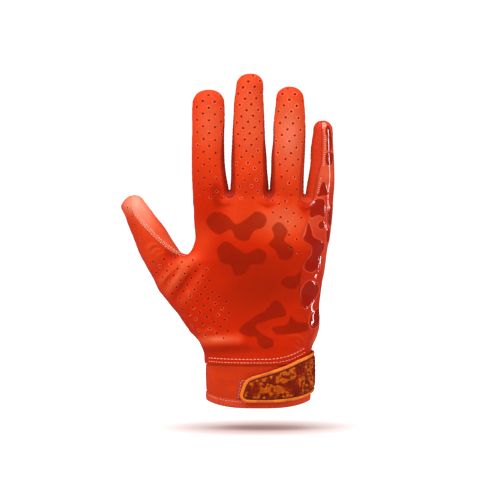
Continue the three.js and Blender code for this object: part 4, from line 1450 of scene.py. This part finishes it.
gripLook = {"shades": [(0.0, (160, 28, 0)), (0.4, (178, 34, 4)), (1.0, (204, 82, 50)),
                       (1.5, (226, 120, 92))],
            "patch": (140, 16, 0), "patchRimHighlight": (216, 92, 62), "lining": (150, 52, 34), "roughness": 0.4,
            "patchRoughness": 0.45, "specular": 0.03, "coat": (0.6, 0.45), "coatIor": 2.0,
            "coatRoughness": 0.06, "mottle": 0.1}


def gripPaint(name, look):
    paint = Paint(name, look)
    tree = paint.tree
    shadesOf(paint, look["shades"])
    # Painted highlight: a pale ring round the rim of each raised patch
    rim = calc(tree, "ABSOLUTE", minus(tree, paint.mask("raised"), 0.75))
    paint.mix(fade(tree, rim, 0.05, 0.42, 0.4, 0.0), rgb(*look["patchRimHighlight"]))
    patch = printMask(paint, "raised", 0.14, 0.2)
    paint.mix(times(tree, patch, 0.92), rgb(*look["patch"]))
    paint.mottled(Strength=look["mottle"])
    # Painted shade: darker along the seams, in their grooves
    paint.shade(fade(tree, paint.mask("seam"), 0.0, 0.9, 0.85, 1.0))
    paint.lined(look["lining"])
    paint.raiseBy(paint.noise(260.0, 2.0), 0.025)
    coat = times(tree, paint.mask("outer"), fade(tree, paint.mask("raised"), -0.2, 2.5, *look["coat"]))
    tree.links.new(coat, paint.shader.inputs["Coat Weight"])
    paint.give({"Coat Roughness": look["coatRoughness"], "Coat IOR": look["coatIor"]})
    rough = plus(tree, times(tree, patch, look["patchRoughness"] - look["roughness"]), look["roughness"])
    tree.links.new(rough, paint.shader.inputs["Roughness"])
    return paint.done()


def clothPaint(name, look):
    # Woven or knitted pieces: threads, gaps between them and a slow change of shade
    paint = Paint(name, look)
    tree = paint.tree
    paint.plain(look["colour"])
    weave = paint.group(weaveGroup, ThreadsPerMetre=look["threads"])
    paint.mix(times(tree, weave["Gaps"], look["gapShade"]), rgb(*look["gaps"]))
    paint.mottled(Strength=look["mottle"])
    if look.get("seams"):
        # Painted shade: darker along the seams, in their grooves
        paint.shade(fade(tree, paint.mask("seam"), 0.0, 1.2, 0.7, 1.0))
    paint.raiseBy(weave["Height"], look["depth"])
    paint.raiseBy(paint.noise(2600.0, 2.0), look["fuzz"])
    return paint.done()


clothLooks = {
    # The gusset mesh is dark red, made darker still as painted shade between the fingers
    "gussetMesh": {"colour": (158, 30, 6), "gaps": (100, 14, 3), "threads": 900.0, "gapShade": 0.5,
                   "mottle": 0.1, "depth": 0.08, "fuzz": 0.03, "roughness": 0.7, "specular": 0.1,
                   "seams": True},
    "littleMesh": {"colour": (184, 46, 14), "gaps": (150, 30, 8), "threads": 1200.0, "gapShade": 0.35,
                   "mottle": 0.08, "depth": 0.05, "fuzz": 0.03, "roughness": 0.5, "specular": 0.08,
                   "seams": True},
    "cuffCloth": {"colour": (192, 48, 6), "gaps": (170, 34, 2), "threads": 1500.0, "gapShade": 0.3,
                  "mottle": 0.16, "depth": 0.03, "fuzz": 0.03, "roughness": 0.46, "specular": 0.08},
    "hemCloth": {"colour": (208, 66, 34), "gaps": (150, 34, 8), "threads": 800.0, "gapShade": 0.6,
                 "mottle": 0.14, "depth": 0.14, "fuzz": 0.05, "roughness": 0.75, "sheen": 0.05,
                 "specular": 0.1},
    "loopPile": {"colour": (176, 44, 16), "gaps": (110, 20, 6), "threads": 1000.0, "gapShade": 0.6,
                 "mottle": 0.16, "depth": 0.2, "fuzz": 0.3, "roughness": 0.95, "sheen": 0.3},
    "strapWeb": {"colour": (104, 22, 4), "gaps": (60, 10, 2), "threads": 750.0, "gapShade": 0.7,
                 "mottle": 0.14, "depth": 0.18, "fuzz": 0.05, "roughness": 0.8, "sheen": 0.1},
    "threadPaint": {"colour": (250, 160, 132), "gaps": (214, 90, 60), "threads": 3200.0, "gapShade": 0.3,
                    "mottle": 0.1, "depth": 0.06, "fuzz": 0.02, "roughness": 0.45, "sheen": 0.2},
    "threadDeep": {"colour": (176, 44, 16), "gaps": (110, 20, 6), "threads": 3200.0, "gapShade": 0.4,
                   "mottle": 0.1, "depth": 0.06, "fuzz": 0.02, "roughness": 0.5, "sheen": 0.1},
}

pipingLook = {"colour": (226, 112, 8), "deep": (186, 62, 4), "roughness": 0.34, "specular": 0.3}


def pipingPaint(name, look):
    paint = Paint(name, look)
    paint.plain(look["colour"])
    paint.mix(fade(paint.tree, paint.noise(130.0, 3.0), 0.42, 0.7, 0.0, 0.7), rgb(*look["deep"]))
    paint.mottled(Strength=0.1, PatchesPerMetre=90.0)
    paint.raiseBy(paint.noise(1500.0, 2.0), 0.06)
    return paint.done()


# Camouflage of the strap's face: cells about as wide as cellSize, in six colours
faceLook = {"cellSize": 0.0024, "blotches": 95.0, "roughness": 0.5, "specular": 0.06,
            "colours": [(0.0, (124, 24, 4)), (0.41, (144, 38, 4)), (0.47, (186, 76, 4)),
                        (0.54, (120, 26, 4)), (0.6, (196, 90, 8)), (0.66, (154, 50, 8))]}


def facePaint(name, look):
    paint = Paint(name, look)
    tree = paint.tree
    run = put(tree, "ShaderNodeAttribute", attribute_name="run").outputs["Vector"]
    pattern = {"Vector": run, "Scale": 1 / look["cellSize"], "Randomness": 0.75}
    cells = put(tree, "ShaderNodeTexVoronoi", pattern)
    edge = put(tree, "ShaderNodeTexVoronoi", pattern, feature="DISTANCE_TO_EDGE")
    paint.ramp(noiseAt(tree, cells.outputs["Position"], look["blotches"], 2.0), look["colours"], "CONSTANT")
    paint.mottled(Strength=0.16, PatchesPerMetre=120.0)
    groove = fade(tree, edge.outputs["Distance"], 0.02, 0.16)
    # Painted shade: darker at the edges of the cells, where the bump sinks into grooves
    paint.shade(plus(tree, times(tree, groove, 0.3), 0.7))
    paint.raiseBy(groove, 0.22)
    return paint.done()


paints = {
    "back": leatherPaint("backLeather", backLook, True),
    "palm": leatherPaint("palmLeather", palmLook, False),
    "thumb": leatherPaint("thumbLeather", thumbLook, False),
    "grip": gripPaint("gripSilicone", gripLook),
    "piping": pipingPaint("pipingRubber", pipingLook),
    "face": facePaint("strapPrint", faceLook),
}
for paintName, clothLook in clothLooks.items():
    paints[paintName] = clothPaint(paintName, clothLook)
print("materials made")


def pressHoles(piece):
    bend = foldShift(*holeCentres.T) + bendAt(holeCentres[:, 0], holeCentres[:, 2])
    centres = holeCentres + bend[:, None] * [0, 1, 0]
    holes = placed("holes", bpy.data.meshes.new("holes"))
    holes.data.from_pydata([tuple(c) for c in centres * metre], [], [])
    addValues(holes, "holeRadius", holeRadii * metre)
    sizes = {"Depth": perforation["depth"] * metre, "Lip": perforation["rim"] * metre}
    runTree(piece, perforationTree(), dict(sizes, Holes=holes, Material=paints["back"]))
    bpy.data.objects.remove(holes)


pressHoles(panels["back_panel"])
print("holes pressed")


def shiftedLine(line, offset):
    # The line moved sideways, to its left for a positive offset
    line = np.asarray(line, float)
    ahead = unit(np.gradient(line, axis=0))
    return line + offset * columns(-ahead[:, 1], ahead[:, 0])


def rayTrees(pieces):
    graph = bpy.context.evaluated_depsgraph_get()
    return [BVHTree.FromObject(piece, graph) for piece in pieces]


def laidOn(line, trees, lift):
    # Points on the back of the pieces below a line seen from the front, with the surface's normal
    line = smoothLine(line, max(12, int(len(line) * 6)))
    step = lengthsAlong(line)
    t = np.arange(0, step[-1], 0.4)
    places, ups = [], []
    for x, z in zip(np.interp(t, step, line[:, 0]), np.interp(t, step, line[:, 1])):
        hits = [tree.ray_cast((x * metre, -0.2, z * metre), (0, 1, 0)) for tree in trees]
        hits = [h for h in hits if h[0] is not None]
        if hits:
            hit = min(hits, key=lambda h: h[0].y)
            places.append(hit[0])
            ups.append(hit[1])
    ups = np.array(ups)
    for _ in range(6):
        ups[1:-1] = (ups[:-2] + 2 * ups[1:-1] + ups[2:]) / 4
    ups = unit(ups)
    return np.array(places) + ups * lift * metre, ups


def sewRows(name, lines, trees, look, paint):
    points, ups, joints = [], [], []
    for line in lines:
        place, up = laidOn(line, trees, look["lift"])
        start = len(points)
        points += place.tolist()
        ups += up.tolist()
        joints += [(k, k + 1) for k in range(start, len(points) - 1)]
    rows = placed(name, bpy.data.meshes.new(name))
    rows.data.from_pydata(points, joints, [])
    addVectors(rows, "up", ups)
    sizes = {key: look[key.lower()] * metre for key in ("Pitch", "Length", "Width", "Height")}
    runTree(rows, sewing, dict(sizes, Material=paint))
    print(name, len(rows.data.polygons), "faces")
    return rows


# Rows of thread: stitch spacing, length, width, height and how far it stands off the cloth
threadLooks = {
    "seam": {"pitch": 2.3, "length": 1.95, "width": 0.5, "height": 0.42, "lift": 0.06},
    "fine": {"pitch": 1.9, "length": 1.6, "width": 0.4, "height": 0.36, "lift": 0.05},
    "bold": {"pitch": 2.7, "length": 2.4, "width": 0.62, "height": 0.5, "lift": 0.08},
    "ladder": {"pitch": 1.35, "length": 0.42, "width": 2.1, "height": 0.4, "lift": 0.1},
}
threadLines = {
    "wristLow": [[-36.5, 33.6], [-20, 33.1], [0, 33.0], [12, 33.3], [21, 34.8], [27.5, 37.2], [33, 40]],
    "wristHigh": [[-36.5, 36.1], [-20, 35.6], [0, 35.5], [11, 35.9], [19.5, 37.4], [26.5, 40], [32, 42.8]],
    "hem": [[x, hemLook["grooveAt"] + float(hemLiftAt(np.array(x)))]
            for x in (-36.5, -33, -28, -20, -10, 0, 12, 22, 29, 34)],
    "loopOuter": [[-10.5, 20.1], [-13.3, 19.7], [-14.0, 15], [-15.3, 7.9]],
    "loopInner": [[-11.6, 18.2], [-12.2, 15], [-13.2, 8.0]],
    "littleBand": [[47.3, 205], [47.7, 198], [47.9, 190], [47.3, 182], [46.6, 176]],
    "littleBar": [[44.9, 167], [43.7, 161.5], [42.8, 156.4]],
}


def webLine(name, offset):
    left, right, web = pairs[name]
    a = np.linspace(0.1, math.pi - 0.1, 12)
    middle = (left[0, 0] + right[0, 0]) / 2
    half = (right[0, 0] - left[0, 0]) / 2 + offset
    return columns(middle - half * np.cos(a), web - (webDrop + offset) * np.sin(a))


sewing = stitchTree()
skinTrees = rayTrees(list(panels.values()))
wristTrees = rayTrees([cuff, hemBand, loopPatch]) + skinTrees
arc = thumbArc[(thumbArc[:, 1] < 152.5) & (thumbArc[:, 0] < -58)]
ringWeb = np.array([[30.4, 154], [32.4, 149.2], [36, 146.6], [39, 148.4]])
rows = threadLines
sewn = [
    ("seamThread", [shiftedLine(arc, 0.55), shiftedLine(arc, 2.7), rows["wristLow"], rows["hem"]],
     wristTrees, "seam", "threadPaint"),
    ("wristThread", [rows["wristHigh"]], skinTrees, "bold", "threadPaint"),
    ("patchThread", [rows["loopOuter"], rows["loopInner"]], wristTrees, "fine", "threadPaint"),
    ("ladderThread", [shiftedLine(arc, 1.65), rows["littleBand"], rows["littleBar"]],
     skinTrees, "ladder", "threadPaint"),
    ("webThread", [webLine("gusset_index_middle", 1.3), webLine("gusset_middle_ring", 1.3), ringWeb],
     skinTrees, "fine", "threadDeep"),
]
stitches = [sewRows(name, lines, trees, threadLooks[look], paints[paint])
            for name, lines, trees, look, paint in sewn]

# Each node's piece, with the record's slot and its paint
pieces = dict(panels, cuff=cuff, hem_band=hemBand, loop_patch=loopPatch, strap=strap,
              strap_piping=strapPiping, strap_face=strapFace)
outfit = {
    "back_panel": ("back_microfibre", "back"), "palm_panel": ("palm_microfibre", "palm"),
    "thumb_panel": ("palm_microfibre", "thumb"), "grip_edge_panel": ("grip_silicone", "grip"),
    "gusset_index_middle": ("gusset_mesh", "gussetMesh"),
    "gusset_middle_ring": ("gusset_mesh", "gussetMesh"),
    "gusset_ring_little": ("gusset_mesh", "littleMesh"), "cuff": ("cuff_neoprene", "cuffCloth"),
    "hem_band": ("hem_fabric", "hemCloth"), "loop_patch": ("loop_fabric", "loopPile"),
    "strap": ("strap_fabric", "strapWeb"), "strap_piping": ("piping_rubber", "piping"),
    "strap_face": ("strap_print", "face"),
}
for node, (slotName, paintName) in outfit.items():
    piece = pieces[node]
    if not piece.data.materials:
        piece.data.materials.append(paints[paintName])
    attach(piece, "root")
    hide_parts(node)
for piece in stitches:
    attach(piece, "root")
print("pieces dressed")

# Floor, light and camera. The floor glows faintly as painted light, and less and redder under the glove as a
# painted shadow with a painted red bounce from the glove.
studio = {"floorZ": -16.0, "floorSize": 12, "floorY": 2, "floorGrey": 0.22, "shadowGlow": (0.35, 0.84),
          "shadowReach": (0.0, 0.1), "shadowTint": (1.0, 0.54, 0.48), "farGlow": 0.5, "farReach": (0.12, 0.42),
          "hiddenShine": 0.95, "worldLight": 0.46, "worldShine": 0.02, "plainLight": 1.15,
          "cameraAt": (-0.007, -1.5, 0.1147), "lens": 147, "sensor": 36, "clipEnd": 50}
lights = {
    "keyLight": {"at": (-1.0, -0.75, 1.35), "look": (0, 0, 0.13), "size": 0.8, "sizeY": 0.8, "power": 17.5},
    "topLight": {"at": (0.0, -0.15, 1.3), "look": (0, 0, 0), "size": 1.1, "sizeY": 1.1, "power": 18.0},
    "rimLight": {"at": (1.3, -0.5, 0.3), "look": (0.04, 0, 0.12), "size": 0.1, "sizeY": 0.9, "power": 6.0},
}
white = (1, 1, 1, 1)


def addArea(name, at, look, size, sizeY, power):
    lamp = bpy.data.lights.new(name, "AREA")
    lamp.shape = "RECTANGLE"
    lamp.size = size
    lamp.size_y = sizeY
    lamp.energy = power
    light = placed(name, lamp)
    light.location = at
    direction = Vector(look) - Vector(at)
    light.rotation_euler = direction.to_track_quat("-Z", "Y").to_euler()


def floorPaint():
    # What shines on the glove sees a dark floor
    material = bpy.data.materials.new("floorPaint")
    material.use_nodes = True
    tree = material.node_tree
    shader = tree.nodes["Principled BSDF"]
    shader.inputs["Roughness"].default_value = 0.9
    shader.inputs["Specular IOR Level"].default_value = 0.0
    place = tree.nodes.new("ShaderNodeTexCoord").outputs["Object"]
    # Painted shadow: near the glove the floor's glow is dimmer and tinted red, and far off it rises to plain
    # white
    away = distance(tree, place, (0, -studio["floorY"], 0))
    shadowFade = fade(tree, away, *studio["shadowReach"])
    dim, bright = studio["shadowGlow"]
    given = {"Value": shadowFade, "To Min": dim, "To Max": bright}
    glow = put(tree, "ShaderNodeMapRange", given).outputs["Result"]
    far = fade(tree, away, *studio["farReach"], 0.0, studio["farGlow"])
    shiny = tree.nodes.new("ShaderNodeLightPath").outputs["Is Glossy Ray"]
    seen = minus(tree, 1.0, times(tree, shiny, studio["hiddenShine"]))
    colour = grey(tree, times(tree, seen, studio["floorGrey"]))
    tint = put(tree, "ShaderNodeMix", {0: shadowFade, 6: studio["shadowTint"] + (1,), 7: white}, data_type="RGBA")
    for name, value in (("Base Color", colour), ("Emission Color", tint.outputs[2]),
                        ("Emission Strength", times(tree, plus(tree, glow, far), seen))):
        tree.links.new(value, shader.inputs[name])
    return material


def setWorld():
    # Plain white for the camera, soft light for the rest and almost none in reflections
    world = bpy.data.worlds.new("studioAir")
    bpy.context.scene.world = world
    world.use_nodes = True
    tree = world.node_tree
    ray = tree.nodes.new("ShaderNodeLightPath").outputs
    shine = times(tree, ray["Is Glossy Ray"], studio["worldShine"] - studio["worldLight"])
    soft = tree.nodes["Background"]
    soft.inputs["Color"].default_value = white
    tree.links.new(plus(tree, shine, studio["worldLight"]), soft.inputs["Strength"])
    plain = put(tree, "ShaderNodeBackground", {"Color": white, "Strength": studio["plainLight"]})
    both = {0: ray["Is Camera Ray"], 1: soft.outputs[0], 2: plain.outputs[0]}
    mix = put(tree, "ShaderNodeMixShader", both)
    tree.links.new(mix.outputs[0], tree.nodes["World Output"].inputs["Surface"])


def setStage():
    at = (0, studio["floorY"], studio["floorZ"] * metre)
    bpy.ops.mesh.primitive_plane_add(size=studio["floorSize"], location=at)
    floor = bpy.context.object
    floor.name = "floor"
    floor.data.materials.append(floorPaint())
    for name, light in lights.items():
        addArea(name, **light)
    setWorld()
    bpy.context.scene.view_settings.view_transform = "Standard"


def setCamera():
    lens = bpy.data.cameras.new("camera")
    camera = placed("camera", lens)
    camera.location = studio["cameraAt"]
    camera.rotation_euler = (math.radians(90), 0, 0)
    lens.lens = studio["lens"]
    lens.sensor_width = studio["sensor"]
    lens.clip_end = studio["clipEnd"]
    bpy.context.scene.camera = camera


setStage()
setCamera()
